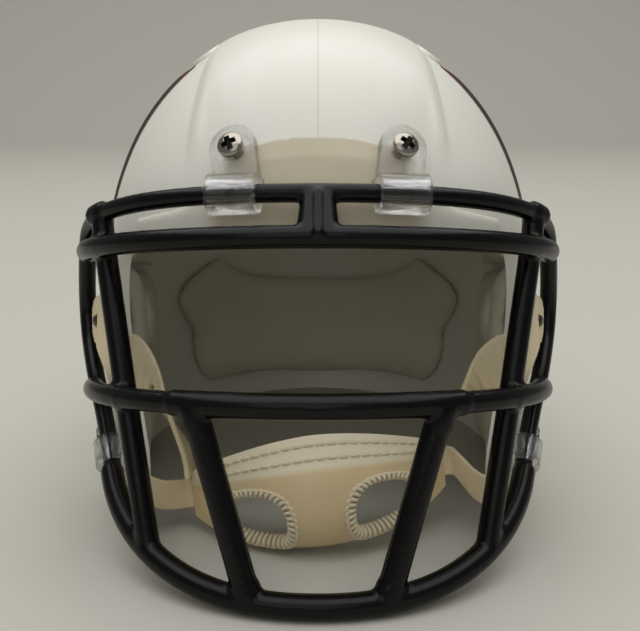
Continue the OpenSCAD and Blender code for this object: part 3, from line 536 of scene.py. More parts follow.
# Each finish: its material's name, what makes it, and that function's colours and amounts
FINISHES = {
    "pearl": ("pearl_lacquered_abs", pearl_abs),
    "black": ("gloss_black_abs", gloss_black_abs),
    # The bumpers turn paler towards their ends, from 21 to 27 mm out of the middle
    "bumper": ("bumper_vinyl", cream_vinyl, "#C8BEA5", "#BDB195", 0.36,
               ("#E4E1D4", "Object", "X", 0.021, 0.027)),
    "strap": ("strap_vinyl", cream_vinyl, "#EADBB9", "#DAC79F", 0.44),
    # The cup's top band with its stitch rows is painted paler: a painted highlight for the light it catches
    # facing up
    "cup": ("cup_vinyl", cream_vinyl, "#E9D3A8", "#DAC192", 0.42, ("#F3E7C9", "UV", "Y", 0.66, 0.74)),
    "clear": ("clear_polycarbonate", clear_polycarbonate),
    "screw": ("nickel_plated_screw", nickel_steel, "#A9A398", 0.14, 0.26),
    # The recess's dark nickel is painted shade, for the shadow down in the cross recess
    "recess": ("screw_recess_shade", nickel_steel, "#2B2723", 0.45, 0.6),
    "stud": ("dull_nickel_stud", nickel_steel, "#9B9893", 0.3, 0.45),
    "foam": ("skinned_foam", skinned_foam, "#E4DFCD", "#D6D0BC"),
    "thread": ("polyester_thread", twisted_thread, "#F2E5C8"),
    "navy": ("navy_film", printed_film, "#131829", "#1B2237"),
    "rust": ("rust_film", printed_film, "#6F3C22", "#61341F"),
    "cap": ("black_enamel", gloss_cap),
}
MADE = {}


def finish(name):
    """Makes each finish once, when it is first asked for."""
    if name not in MADE:
        MADE[name] = material(*FINISHES[name])
    return MADE[name]


# ---- sizes and colours a user may change


class HelmetShellSettings(bpy.types.PropertyGroup):
    cuts: IntProperty(name="Shell cuts", description="How often each edge of the frame's shell is cut",
                      default=3, min=1, max=4)
    lip_width: FloatProperty(name="Vent lip width", description="Width of the lip round each vent",
                             default=0.0012, unit="LENGTH")


class HelmetStrapSettings(bpy.types.PropertyGroup):
    stitch_pitch: FloatProperty(name="Stitch pitch", description="Length of one running stitch and its gap",
                                default=0.0027, unit="LENGTH")
    binding_pitch: FloatProperty(name="Binding pitch", default=0.00132, unit="LENGTH",
                                 description="Spacing of the overlock loops round the holes")
    thread: FloatProperty(name="Thread thickness", description="Thickness of the sewing thread",
                          default=0.00078, unit="LENGTH")


class HelmetStageSettings(bpy.types.PropertyGroup):
    paper: FloatVectorProperty(name="Paper colour", description="Colour of the sweep behind the helmet",
                               subtype="COLOR", size=3, default=colour("#C5C2B7")[:3], min=0, max=1)
    key_power: FloatProperty(name="Key light", description="Power of the large light overhead", default=21.0,
                             unit="POWER")
    show_floor: BoolProperty(name="Floor", default=True, description="Makes the sweep under the helmet")


# ---- shell


# Cut edges of the shell that turn by more than this stay crisp
CRISP = math.radians(38)


class HELMET_OT_shell(bpy.types.Operator):
    """Shell: the frame's shell, cut finer and set onto its smooth outline"""
    bl_idname = "helmet.shell"
    bl_label = "Shell"

    def execute(self, context):
        obj = node_copy("shell", "shell_skin")
        # Sliver faces would dent the smooth shading, so they go before the cutting
        edit_whole(obj)
        bpy.ops.mesh.dissolve_degenerate(threshold=0.00003)
        bpy.ops.mesh.subdivide(number_cuts=context.scene.helmet_shell.cuts, smoothness=0)
        close_edit()
        points = to_level(get_points(obj))
        skin, inner = skin_points(points), skin_points(points, WALL)
        out = skin_normals(skin)
        rise, depth = ((points - skin) * out).sum(1), ((points - inner) * out).sum(1)
        # Points with a face that looks out lie on the skin, those with one that looks in on its inside
        corners = np.empty(len(obj.data.loops), np.int32)
        sides = np.empty(len(obj.data.polygons), np.int32)
        normals = np.empty(len(obj.data.polygons) * 3)
        obj.data.loops.foreach_get("vertex_index", corners)
        obj.data.polygons.foreach_get("loop_total", sides)
        obj.data.polygons.foreach_get("normal", normals)
        way = out @ np.array(TILT)[:3, :3].T
        lie = (way[corners] * np.repeat(normals.reshape(-1, 3), sides, axis=0)).sum(1)
        most, least = np.full(len(points), -1.0), np.full(len(points), 1.0)
        np.maximum.at(most, corners, lie)
        np.minimum.at(least, corners, lie)
        # Some lie a little under the skin, where the frame's facets span it; the rim below stays as it is
        on_top = ((rise > -0.3) | (most > 0.3) & (rise > -0.5)) & (points[:, 2] > 1)
        on_back = (least < -0.75) & (np.abs(depth) < WALL / 2) & ~on_top
        points[on_top] = (skin + out * band_height(skin)[:, None])[on_top]
        points[on_back] = inner[on_back]
        set_points(obj, to_stand(points))
        # The skin and the inside shade smoothly, and meet the cut edges at a crisp line
        kind = np.where(on_top, 1, np.where(on_back, 2, 0))
        mesh = bmesh.new()
        mesh.from_mesh(obj.data)
        for face in mesh.faces:
            kinds = {int(kind[v.index]) for v in face.verts}
            face.tag = len(kinds) == 1 and kinds != {0}
            face.smooth = True
        for edge in mesh.edges:
            tags = {face.tag for face in edge.link_faces}
            edge.smooth = tags == {True} or (tags == {False} and edge.calc_face_angle(0) < CRISP)
        mesh.to_mesh(obj.data)
        mesh.free()
        dress(obj, finish("pearl"), replaced=["shell"])
        return {"FINISHED"}


# The crown vents' places, half runs and radius, the ear holes' bearing, height and radius, how far their
# lips are sunk into the shell, and the points round a lip
VENT_X, VENT_Y, VENT_RUN, VENT_R = BAND_HALF + 5.7, (-17, 24), 4.8, 2.62
EAR, EAR_R = (2, 62), 6.42
VENT_SINK, EAR_SINK = 0.05, 0.35
LIP_POINTS = 40


class HELMET_OT_vent_lips(bpy.types.Operator):
    """Moulded lips round the four crown vents and the two ear holes"""
    bl_idname = "helmet.vent_lips"
    bl_label = "Vent lips"

    def lip(self, half_run, radius, width, matrix, sink):
        """A rounded band round a slot: a ring of points stretched, extruded and bevelled."""
        obj = primitive("circle", vertices=LIP_POINTS, radius=radius, fill_type="NOTHING")
        points = get_points(obj)
        points[:, 1] += np.where(points[:, 1] > 1e-6, half_run, -half_run)
        set_points(obj, points)
        edit_whole(obj)
        bpy.ops.mesh.extrude_region_move(TRANSFORM_OT_translate={"value": (0, 0, 0)})
        close_edit()
        points = get_points(obj)
        outer = points[LIP_POINTS:].copy()
        middle = np.zeros_like(outer)
        middle[:, 1] = np.where(outer[:, 1] > 0, half_run, -half_run)
        way = outer - middle
        points[LIP_POINTS:] = outer + way / np.linalg.norm(way, axis=1, keepdims=True) * width
        set_points(obj, points)
        modifier(obj, "SOLIDIFY", thickness=2.0, offset=0)
        bevel(obj, 0.42, 3, 50)
        face_outwards(obj)
        smooth_faces(obj, 40)
        settle(obj, matrix @ Matrix.Translation((0, 0, -sink)))
        return obj

    def execute(self, context):
        width = context.scene.helmet_shell.lip_width * 1000
        lips = []
        for side in (-1, 1):
            for y in VENT_Y:
                x, z = side * VENT_X, 130.0
                # Lowers the place onto the skin straight from above
                for _ in range(21):
                    z = skin_points(np.array([[x, y, z]]))[0][2]
                long = FRONT if y < 0 else REAR
                out = Vector((x / HALF_W ** 2, y / long ** 2, (z - WIDEST) / RISE ** 2)).normalized()
                m = seat_matrix(Vector((x, y, z)), Vector((1, 0, 0)), out)
                lips.append(self.lip(VENT_RUN, VENT_R, width, m, VENT_SINK))
            at, out = seat(*EAR, side)
            m = seat_matrix(at, Vector((0, side, 0)), out)
            lips.append(self.lip(0.0, EAR_R, width, m, EAR_SINK))
        obj = join(lips, "vent_lips")
        dress(obj, finish("pearl"))
        return {"FINISHED"}


# Corners of the side field, its middle, the shares of the way out at which its rings of points lie, their
# points, its lift off the skin in millimetres and its thickness in metres
BADGE = ((-25.5, 94), (-26.8, 108), (-27.8, 122), (-26.2, 129), (-19, 127), (14, 124), (36, 115), (52, 103),
         (46, 99), (28, 99), (8, 93), (-12, 88), (-24.5, 88.5))
BADGE_MIDDLE = (8.0, 108.0)
BADGE_RINGS = (0.02, *np.linspace(0.1, 0.9, 13), 0.957, 0.98, 1.0)
BADGE_TURNS, BADGE_LIFT, FILM = 160, 0.07, 0.00008


class HELMET_OT_badges(bpy.types.Operator):
    """Plain swept field in navy with a rust border on each side of the shell"""
    bl_idname = "helmet.badges"
    bl_label = "Side badges"

    def outline(self, turns):
        """Outline of the field in the side view, from its front edge round to its rear tip."""
        corners = [np.array(q, float) for q in BADGE]
        ring = corners[-1:] + corners + corners[:2]
        path = np.array(curve_through(ring, 8))[8:-8]
        run = np.concatenate([[0], np.cumsum(np.linalg.norm(np.diff(path, axis=0), axis=1))])
        s = np.linspace(0, run[-1], turns, endpoint=False)
        return np.stack([np.interp(s, run, path[:, k]) for k in (0, 1)], 1)

    def execute(self, context):
        edge = self.outline(BADGE_TURNS)
        middle = np.array(BADGE_MIDDLE)
        for side, word in ((-1, "left"), (1, "right")):
            obj = new_object("badge_" + word, bpy.data.meshes.new("badge_" + word))
            mesh = bmesh.new()
            rows = [[mesh.verts.new((*(middle + (q - middle) * share), 0)) for q in edge]
                    for share in BADGE_RINGS]
            mesh.faces.new(rows[0])
            for low, high in zip(rows, rows[1:]):
                for i in range(BADGE_TURNS):
                    face = mesh.faces.new((low[i - 1], low[i], high[i], high[i - 1]))
                    face.material_index = int(high in rows[-2:])
            mesh.to_mesh(obj.data)
            mesh.free()
            flat = get_points(obj)
            y, z = flat[:, 0], flat[:, 1]
            # Pushes the flat field sideways onto the skin
            seed = np.stack([np.full_like(y, side * 45.0), y, z], 1)
            for _ in range(80):
                hit = skin_points(seed)
                seed = np.stack([hit[:, 0], y, z], 1)
            set_points(obj, to_stand(seed + skin_normals(seed) * (BADGE_LIFT + band_height(seed)[:, None])))
            obj.data.materials.append(finish("navy"))
            obj.data.materials.append(finish("rust"))
            face_outwards(obj)
            if (side > 0) != (obj.data.polygons[0].normal.x > 0):
                obj.data.flip_normals()
            modifier(obj, "SOLIDIFY", thickness=FILM, offset=1)
            finish_modifiers(obj)
            smooth_faces(obj, 40)
            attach(obj, BODY)
        return {"FINISHED"}


class HELMET_OT_bumpers(bpy.types.Operator):
    """Cream brow and nape bumpers with rounded edges"""
    bl_idname = "helmet.bumpers"
    bl_label = "Bumpers"

    def execute(self, context):
        for node, fine in (("brow_bumper", 0.0004), ("nape_bumper", 0.0003)):
            obj = node_copy(node, node + "_vinyl")
            voxel(obj, fine, 6)
            dress(obj, finish("bumper"), replaced=[node])
        return {"FINISHED"}


# The guard in millimetres of the level helmet: each bar's half width, front, back, height and thickness
POST_X, POST_Y, BACK = 59.357, -30.0, -34.0
TOP = (58.757, -69.686, -28.5, 90.7, 4.4)
SECOND = (57.757, -74.686, BACK, 80.9, 5.2)
MIDDLE = (55.957, -79.686, BACK, 45.5, 5.9)
RING = (51.757, -75.686, BACK, 2.9, 5.8)
POST_BENDS = ((-2.6, -8, 85.2), (-0.2, -1, 77.9), (1.6, 6.5, 67.9), (0.8, 6, 58), (-2.2, -0.5, 48.5),
              (-4.6, -2.5, 39.5))
POST_D, SLANT_D = 5.4, 6.0
# How far round the top bar and the ring reach, and where the posts and uprights meet the ring, in degrees
TOP_REACH, RING_REACH, RING_GRIP, RING_FOOT = 60.5, 70.0, 80.0, 47
# How far the top bar drops to its ends, the ring rises to its own, and how late it does
TOP_DROP, RING_RISE, RING_CURL = 2.4, 34, 1.2
# The swept bars: how far round each reaches, how it rises to its ends, and its share of the full thickness
SWEPT = ((SECOND, 86, -1.4, 1), (MIDDLE, 84, 0.8, 0.86), (MIDDLE, 33, 0.8, 1))


def around(bar, turn, rise=0.0, curl=1.0):
    """A place on a bar, by its angle from the front in degrees."""
    span, front, back, z, _ = bar
    c, s = math.cos(math.radians(turn)), math.sin(math.radians(turn))
    return np.array([span * s, back - (back - front) * c, z + rise * (1 - c) ** curl])


def across(bar, x, drop=0.0):
    """A place on a bar, by its distance from the middle."""
    span, front, back, z, _ = bar
    return np.array([x, back - (back - front) * math.sqrt(1 - (x / span) ** 2), z - drop])


def ring_at(turn):
    """A place on the foot ring, by its angle from the front in degrees."""
    return around(RING, turn, RING_RISE, RING_CURL)


def curve_through(points, steps):
    """Catmull-Rom curve through points."""
    out = []
    for i in range(len(points) - 1):
        a, b, c, d = (points[max(0, i - 1)], points[i], points[i + 1], points[min(len(points) - 1, i + 2)])
        for k in range(steps):
            t = k / steps
            out.append(0.5 * (2 * b + (c - a) * t + (2 * a - 5 * b + 4 * c - d) * t * t
                              + (3 * b - 3 * c + d - a) * t ** 3))
    return out + [points[-1]]


def rod(points, diameter):
    """A round bar along level points, with ball ends, standing."""
    places = to_stand(np.array(points))
    made = [tube(places, diameter / 2000, "rod", sides=24)]
    return made + [ball(end, diameter) for end in (places[0], places[-1])]


def mirrored(point, side):
    """A place, or its mirror image when side is -1."""
    return np.array([point[0] * side, point[1], point[2]])


class HELMET_OT_guard(bpy.types.Operator):
    """Face guard: round bars swept along their paths and fused into one moulding with blended joints"""
    bl_idname = "helmet.guard"
    bl_label = "Face guard"

    def execute(self, context):
        parts = []
        corner = around(TOP, TOP_REACH) - [0, 0, TOP_DROP]
        shares = [i / 44 for i in range(-44, 45)]
        top = [around(TOP, TOP_REACH * i / 36) - [0, 0, TOP_DROP * abs(i / 36) ** 3] for i in range(-36, 37)]
        parts += rod(top, TOP[4])
        for bar, reach, rise, wide in SWEPT:
            parts += rod([around(bar, reach * share, rise) for share in shares], bar[4] * wide)
        parts += rod([ring_at(RING_REACH * share) for share in shares], RING[4])
        second, middle = across(SECOND, 50.4, 0.8), across(MIDDLE, 43.8)
        for side in (-1, 1):
            upright = [corner, second + [0, 4.2, 0], middle + [0, 4.2, 0], ring_at(RING_FOOT)]
            post = [corner, *[np.array([POST_X + x, POST_Y + y, z]) for x, y, z in POST_BENDS],
                    ring_at(RING_GRIP), ring_at(RING_GRIP - 7), ring_at(RING_REACH - 4)]
            for path, wide in ((upright, POST_D), (post, POST_D * 0.85)):
                parts += rod(curve_through([mirrored(q, side) for q in path], 8), wide)
            foot, head = ring_at(16.5 * side), across(MIDDLE, 26.5 * side)
            parts += rod(np.linspace(head, foot, 12), SLANT_D)
            # Moulded knots where bars meet: place, run and thickness
            for at, run, wide in ((mirrored(corner, side), (side * 1.6, 1.6, -0.5), POST_D + 0.6),
                                  (mirrored(second, side), (0, 3.6, 0), SECOND[4]),
                                  (mirrored(middle, side), (0, 3.8, 0), MIDDLE[4] * 0.86),
                                  (head - [0, 0, 1.5], (-0.6 * side, 0, -2), SLANT_D + 0.5),
                                  (foot + [0, 0, 1], (0.4 * side, 0, 1.6), SLANT_D + 0.3),
                                  (mirrored(ring_at(RING_REACH), side),
                                   mirrored(ring_at(RING_GRIP - 6) - ring_at(RING_REACH), side), RING[4])):
                parts += rod([at, at + np.array(run)], wide)
        # Web between the upper two bars, with its raised rib
        for spots in ([(across(TOP, 1.6 * s), TOP[4]) for s in (-1, 1)] +
                      [(across(SECOND, 2.2 * s), SECOND[4]) for s in (-1, 1)],
                      [(across(TOP, 0) - [0, TOP[4] / 2, 0], 2.2),
                       (across(SECOND, 0) + [0, 0.4 - SECOND[4] / 2, 0.7], 2.2)]):
            web = join([ball(to_stand(at[None])[0], wide) for at, wide in spots], "web")
            edit_whole(web)
            bpy.ops.mesh.convex_hull()
            close_edit()
            parts.append(web)
        obj = join(parts, "face_guard")
        voxel(obj, 0.00052, 7)
        dress(obj, finish("black"), replaced=["facemask"])
        return {"FINISHED"}


class HELMET_OT_clips(bpy.types.Operator):
    """Clear loops with polished, rounded edges"""
    bl_idname = "helmet.clips"
    bl_label = "Clear clips"

    def execute(self, context):
        for node in ("top_clip_left", "top_clip_right", "side_clip_left", "side_clip_right"):
            obj = node_copy(node, node + "_clear")
            bevel(obj, 0.00028, 3, 40, harden_normals=False)
            smooth_faces(obj, 35)
            dress(obj, finish("clear"), replaced=[node])
        return {"FINISHED"}


# The screws, in the order of their seats: where each sits and how far it was turned
SCREW_NAMES = ("brow_left", "jaw_left", "brow_right", "jaw_right")
SCREW_TURNS = (20, 70, -32, 15)
HEAD_R = 3.0


class HELMET_OT_screws(bpy.types.Operator):
    """Pan-head screws with a tapered cross recess"""
    bl_idname = "helmet.screws"
    bl_label = "Screws"

    def dome(self, r):
        """Height of the head's crown at a distance from its middle."""
        return 0.72 + 1.08 * np.sqrt(np.maximum(0, 1 - (r / (HEAD_R + 0.06)) ** 2)) ** 1.15

    def head(self):
        """One head, its shank down, in millimetres about the seat of the tab."""
        obj = primitive("cylinder", vertices=64, radius=HEAD_R, depth=1.75, location=(0, 0, 0.875))
        settle(obj)
        edit_whole(obj)
        bpy.ops.mesh.select_mode(type="FACE")
        bpy.ops.mesh.select_all(action="DESELECT")
        close_edit()
        for face in obj.data.polygons:
            face.select = face.normal.z > 0.9
        bpy.ops.object.mode_set(mode="EDIT")
        for _ in range(7):
            bpy.ops.mesh.inset(thickness=0.4, depth=0)
        close_edit()
        points = get_points(obj)
        top = points[:, 2] > 1
        points[top, 2] = self.dome(np.linalg.norm(points[top, :2], axis=1))
        set_points(obj, points)
        # The recess is a cross that narrows downwards
        cross = primitive("cube", size=1, location=(0, 0, 1.55))
        cross.scale = (4.9, 1.6, 2.0)
        settle(cross)
        points = get_points(cross)
        low = points[:, 2] < 1
        points[low] *= np.array([0.5, 0.62, 1])
        set_points(cross, points)
        other = copy_of(cross, "cross", Matrix.Rotation(math.radians(90), 4, "Z"))
        for cutter in (cross, other):
            cut = modifier(obj, "BOOLEAN", operation="DIFFERENCE", solver="EXACT")
            cut.object = cutter
            finish_modifiers(obj)
        for cutter in (cross, other):
            bpy.data.objects.remove(cutter)
        obj.data.materials.append(finish("screw"))
        obj.data.materials.append(finish("recess"))
        # Faces down in the cross get the dark recess finish: painted shade where the recess walls keep the
        # light out
        for face in obj.data.polygons:
            x, y, z = face.center
            r = math.hypot(x, y)
            face.material_index = int(z < self.dome(r) - 0.12 and r < 2.6 and z > 0.3)
        shank = primitive("cylinder", vertices=40, radius=1.28, depth=6.4, location=(0, 0, -3.1))
        settle(shank)
        bevel(obj, 0.07, 2, 38)
        made = join([obj, shank], "screw")
        smooth_faces(made, 32)
        return made

    def execute(self, context):
        first = self.head()
        for (at, out, aside), turn, place in zip(screw_seats(), SCREW_TURNS, SCREW_NAMES):
            m = seat_matrix(at, aside, out) @ Matrix.Translation((0, 0, 2.5)) @ \
                Matrix.Rotation(math.radians(turn), 4, "Z")
            obj = copy_of(first, "screw_" + place, m)
            dress(obj, (finish("screw"), finish("recess")),
                  replaced=["top_screws" if place.startswith("brow") else "side_screws"])
        bpy.data.objects.remove(first)
        return {"FINISHED"}


class HELMET_OT_metal(bpy.types.Operator):
    """Finish of the nuts, studs and snap caps, which keep the frame's shapes"""
    bl_idname = "helmet.metal"
    bl_label = "Nuts, studs and caps"

    def execute(self, context):
        for node, word in (("clip_nuts", "stud"), ("snap_studs", "stud"), ("snap_caps", "cap")):
            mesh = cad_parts[node].data
            mesh.materials.clear()
            mesh.materials.append(finish(word))
        return {"FINISHED"}


# ---- padding


# How long the cloth swells, in frames, and the room kept to the shell's inside, in millimetres
CLOTH_FRAMES, PAD_GAP = 12, 0.3
# Each pad, how far it may swell, and how many rounds ease its edges
PADS = (("rear_pad", 0.0014, 14), ("jaw_pad_left", 0.0007, 6), ("jaw_pad_right", 0.0007, 6),
        ("temple_pad_left", 0.0006, 6), ("temple_pad_right", 0.0006, 6), ("brow_pad", 0.0006, 5),
        ("crown_pad", 0.0008, 5))


class HELMET_OT_pads(bpy.types.Operator):
    """Foam pads: each swells a little under cloth pressure and keeps its cut edges"""
    bl_idname = "helmet.pads"
    bl_label = "Foam pads"

    def execute(self, context):
        for node, cap, eased in PADS:
            obj = node_copy(node, node.replace("pad", "foam"))
            voxel(obj, 0.0016, eased)
            start = get_points(obj)
            level = to_level(start)
            cloth = modifier(obj, "CLOTH")
            cloth.settings.use_pressure = True
            cloth.settings.uniform_pressure_force = 4
            cloth.settings.effector_weights.gravity = 0
            cloth.settings.quality = 4
            for now in range(1, CLOTH_FRAMES + 1):
                context.scene.frame_set(now)
            finish_modifiers(obj)
            context.scene.frame_set(1)
            moved = get_points(obj) - start
            far = np.linalg.norm(moved, axis=1, keepdims=True)
            moved *= np.minimum(1, cap / np.maximum(far, 1e-9))
            level = to_level(start + moved)
            # The glued back stays on the shell's inside, and nothing passes through it
            inner = skin_points(level, WALL + PAD_GAP)
            out = skin_normals(inner)
            over = np.maximum(((level - inner) * out).sum(1), 0)
            set_points(obj, to_stand(level - out * over[:, None]))
            modifier(obj, "SUBSURF", levels=1, render_levels=1)
            finish_modifiers(obj)
            smooth_faces(obj)
            dress(obj, finish("foam"), replaced=[node])
        return {"FINISHED"}


# ---- chin strap

# The chin cup in millimetres, its hinge and the middles and half sizes of its holes in shares of the cup
CUP_HALF, CUP_DEEP, CUP_H, CUP_T, CUP_RUN = 31.0, 19.0, 26.0, 2.0, 32
CUP_END, CUP_TURN = 5.6, math.radians(105)
HINGE_Y, HINGE_Z, CUP_LEAN = -36.0, 23.2, math.radians(7)
HOLE_C, HOLE_R, HOLE_EASE = (0.5, 0.678), (0.272, 0.222), 0.4
STITCH_ROWS = (0.085, 0.205)
# A loop of the overlock edge wraps the hole's edge by these steps away from it and up
WRAP = ((1.0, 0.95), (0.75, 1.25), (0.35, 1.4), (-0.15, 1.3), (-0.5, 0.85), (-0.62, 0.0), (-0.5, -0.85),
        (-0.15, -1.3), (0.35, -1.4), (1.0, -1.0))


def lean(p):
    """Turns a place on the upright cup to the lean that it is worn with."""
    x, y, z = p[0], p[1] - HINGE_Y, p[2] - HINGE_Z
    c, s = math.cos(CUP_LEAN), math.sin(CUP_LEAN)
    return Vector((x * c - z * s, HINGE_Y + y, HINGE_Z + x * s + z * c))


def cup_middle(u, v):
    """Middle surface of the cup: u across from -1 to 1, v down from 0 to 1; it turns under below."""
    a, w, mid = abs(u), 2 * v - 1, 1 - u * u
    half = CUP_H / 2 * (1 - a ** 1.8) + CUP_END * a ** 1.8
    # Below its middle line the cup bends ever more; back and drop are the first terms of that curve's series
    t, run, low = CUP_TURN * mid, half * (1 + 0.4 * mid), max(0.0, w)
    back = run * (t * low ** 3 / 3 - t ** 3 * low ** 7 / 42 + t ** 5 * low ** 11 / 1320)
    drop = run * (w - t * t * w ** 5 / 10 + t ** 4 * w ** 9 / 216) if w > 0 else half * w
    y = HINGE_Y - CUP_DEEP * (1 - a ** 2.2) + (0 if w > 0 else 2.5 * mid * w * w) + back
    return Vector((CUP_HALF * u, y, HINGE_Z - 0.3 - drop))


def cup_out(u, v):
    """Outward direction of the cup at a place on it."""
    e = 0.02
    du = cup_middle(min(1, u + e), v) - cup_middle(max(-1, u - e), v)
    dv = cup_middle(u, v - e) - cup_middle(u, v + e)
    return du.cross(dv).normalized()


def cup_place(u, v, lift=0.0):
    """A place on the cup, lifted off its middle surface, in metres as it stands."""
    return STAND @ lean(cup_middle(u, v) + lift * cup_out(u, v))


def hole_share(a, b):
    """How far out of a hole's middle a place lies, 1 being its outline: an oval above, squarer below."""
    power = np.where(b > 0, 3.0, 2.0)
    return (np.abs(a) ** power + np.abs(b) ** power) ** (1 / power)


def by_edge(side, turn, away, rise):
    """A place near a hole's edge: millimetres away from it, and above the cup's middle surface."""
    c, s = math.cos(turn), math.sin(turn)
    reach = 1 / hole_share(c, s)
    c, s = c * (reach + away / (CUP_HALF * HOLE_R[0])), s * (reach + away / (CUP_RUN * HOLE_R[1]))
    u, v = side * (HOLE_C[0] + HOLE_R[0] * c), HOLE_C[1] + HOLE_R[1] * s
    return cup_place(max(-0.999, min(0.999, u)), v, rise)


def stitches(route, pitch, thread):
    """Running stitches along a route of (place, outward) pairs, each a bead that dips at both ends."""
    run, beads = [0.0], []
    for (a, _), (b, _) in zip(route, route[1:]):
        run.append(run[-1] + (b - a).length)
    columns = np.array([[*p, *n] for p, n in route]).T
    s = pitch * 0.5
    while s + pitch < run[-1]:
        line = []
        for t in (0, 0.12, 0.3, 0.5, 0.7, 0.88, 1):
            here = [np.interp(s + t * pitch * 0.84, run, column) for column in columns]
            rise = thread * (0.3 - 0.75 * abs(2 * t - 1) ** 4)
            line.append(Vector(here[:3]) + Vector(here[3:]).normalized() * rise)
        beads.append(tube(line, thread / 2, "row"))
        s += pitch
    return join(beads, "row")


class HELMET_OT_chin_cup(bpy.types.Operator):
    """Chin cup: a curved vinyl shell with two bound holes and rows of stitching"""
    bl_idname = "helmet.chin_cup"
    bl_label = "Chin cup"

    def execute(self, context):
        settings = context.scene.helmet_strap
        lift = CUP_T / 2
        obj = primitive("grid", x_subdivisions=100, y_subdivisions=50, size=2)
        flat = get_points(obj)
        u, v = flat[:, 0], 0.5 - flat[:, 1] / 2
        a, b = (np.abs(u) - HOLE_C[0]) / HOLE_R[0], (v - HOLE_C[1]) / HOLE_R[1]
        # The grid's square rings round each hole close in on its outline
        square = np.maximum(np.abs(a), np.abs(b))
        near = (square > 1e-6) & (square <= 1 + HOLE_EASE) & (np.abs(u) > 1e-6)
        round_off = square / np.maximum(hole_share(a, b), 1e-9)
        blend = np.clip((square - 1) / HOLE_EASE, 0, 1)
        scale = np.where(near, round_off * (1 - blend) + blend, 1)
        # Rings right at the edge fall on the hole's line
        snap = np.where(near & (np.abs(square - 1) < 0.04), 1 / np.maximum(square, 1e-6), 1)
        u2 = np.sign(u) * (HOLE_C[0] + a * scale * snap * HOLE_R[0])
        v2 = HOLE_C[1] + b * scale * snap * HOLE_R[1]
        u2, v2 = np.where(near, u2, u), np.where(near, v2, v)
        set_points(obj, np.array([cup_middle(p, q) for p, q in zip(u2, v2)]))
        mesh = bmesh.new()
        mesh.from_mesh(obj.data)
        mesh.verts.ensure_lookup_table()
        inside = [mesh.verts[i] for i in np.flatnonzero(square < 0.96)]
        bmesh.ops.delete(mesh, geom=inside, context="VERTS")
        mesh.to_mesh(obj.data)
        mesh.free()
        set_points(obj, np.array([list(STAND @ lean(Vector(q))) for q in get_points(obj)]))
        modifier(obj, "SOLIDIFY", thickness=CUP_T / 1000, offset=0, use_even_offset=True)
        bevel(obj, 0.0006, 2, 60)
        face_outwards(obj)
        obj.name = obj.data.name = "chin_cup_vinyl"
        smooth_faces(obj)
        dress(obj, finish("cup"), CUP, ["chin_cup"])
        rows = []
        for v in STITCH_ROWS:
            route = [(cup_place(u, v, lift), (cup_place(u, v, lift + 1) - cup_place(u, v, lift)).normalized())
                     for u in np.linspace(-0.95, 0.95, 120)]
            rows.append(stitches(route, settings.stitch_pitch, settings.thread))
        obj = join(rows, "cup_stitching")
        smooth_faces(obj)
        dress(obj, finish("thread"), CUP)
        loops = []
        for side in (-1, 1):
            # Turns at which the loops stand evenly along the edge
            spread = np.linspace(0, 2 * math.pi, 241)
            table = [by_edge(side, turn, 0, 1) for turn in spread]
            run = np.concatenate([[0], np.cumsum([(q - p).length for p, q in zip(table, table[1:])])])
            count = round(run[-1] / settings.binding_pitch)
            turns = np.interp(np.linspace(0, run[-1], count + 1), run, spread)
            for k in range(count):
                step = turns[k + 1] - turns[k]
                line = [by_edge(side, turns[k] + step * 0.5 * j / (len(WRAP) - 1), away, rise)
                        for j, (away, rise) in enumerate(WRAP)]
                loops.append(tube(line, settings.thread * 0.6, "loop", sides=12))
                # A chain of small arcs joins the loops' outer ends
                chain = [by_edge(side, turns[k] + step * t, 0.95 + 0.4 * math.sin(math.pi * t),
                                 1.12 + 0.12 * math.sin(math.pi * t)) for t in np.linspace(-0.06, 1.06, 7)]
                loops.append(tube(chain, settings.thread * 0.55, "loop", sides=12))
        obj = join(loops, "cup_binding")
        smooth_faces(obj)
        dress(obj, finish("thread"), CUP)
        return {"FINISHED"}


class HELMET_OT_legs(bpy.types.Operator):
    """The four strap legs, with rounded edges"""
    bl_idname = "helmet.legs"
    bl_label = "Strap legs"

    def execute(self, context):
        for node in ("upper_leg_left", "upper_leg_right", "lower_leg_left", "lower_leg_right"):
            obj = node_copy(node, node.replace("leg", "strap"))
            voxel(obj, 0.00034, 8)
            dress(obj, finish("strap"), replaced=[node])
        return {"FINISHED"}


# ---- stage


# The paper in metres: its whole run, its flat floor, the run of its bend, and the bend's radius
SWEEP_LONG, SWEEP_FLAT, SWEEP_BEND, SWEEP_R = 4.4, 2.4, 0.7, 0.45
# The camera: focal length and picture width in pixels, sensor in millimetres, place, and degrees down
FOCAL_PX, PHOTO_PX, SENSOR = 950, 640, 36
EYE, LOOK_DOWN = (0, -0.260572, 0.112829), 14.63


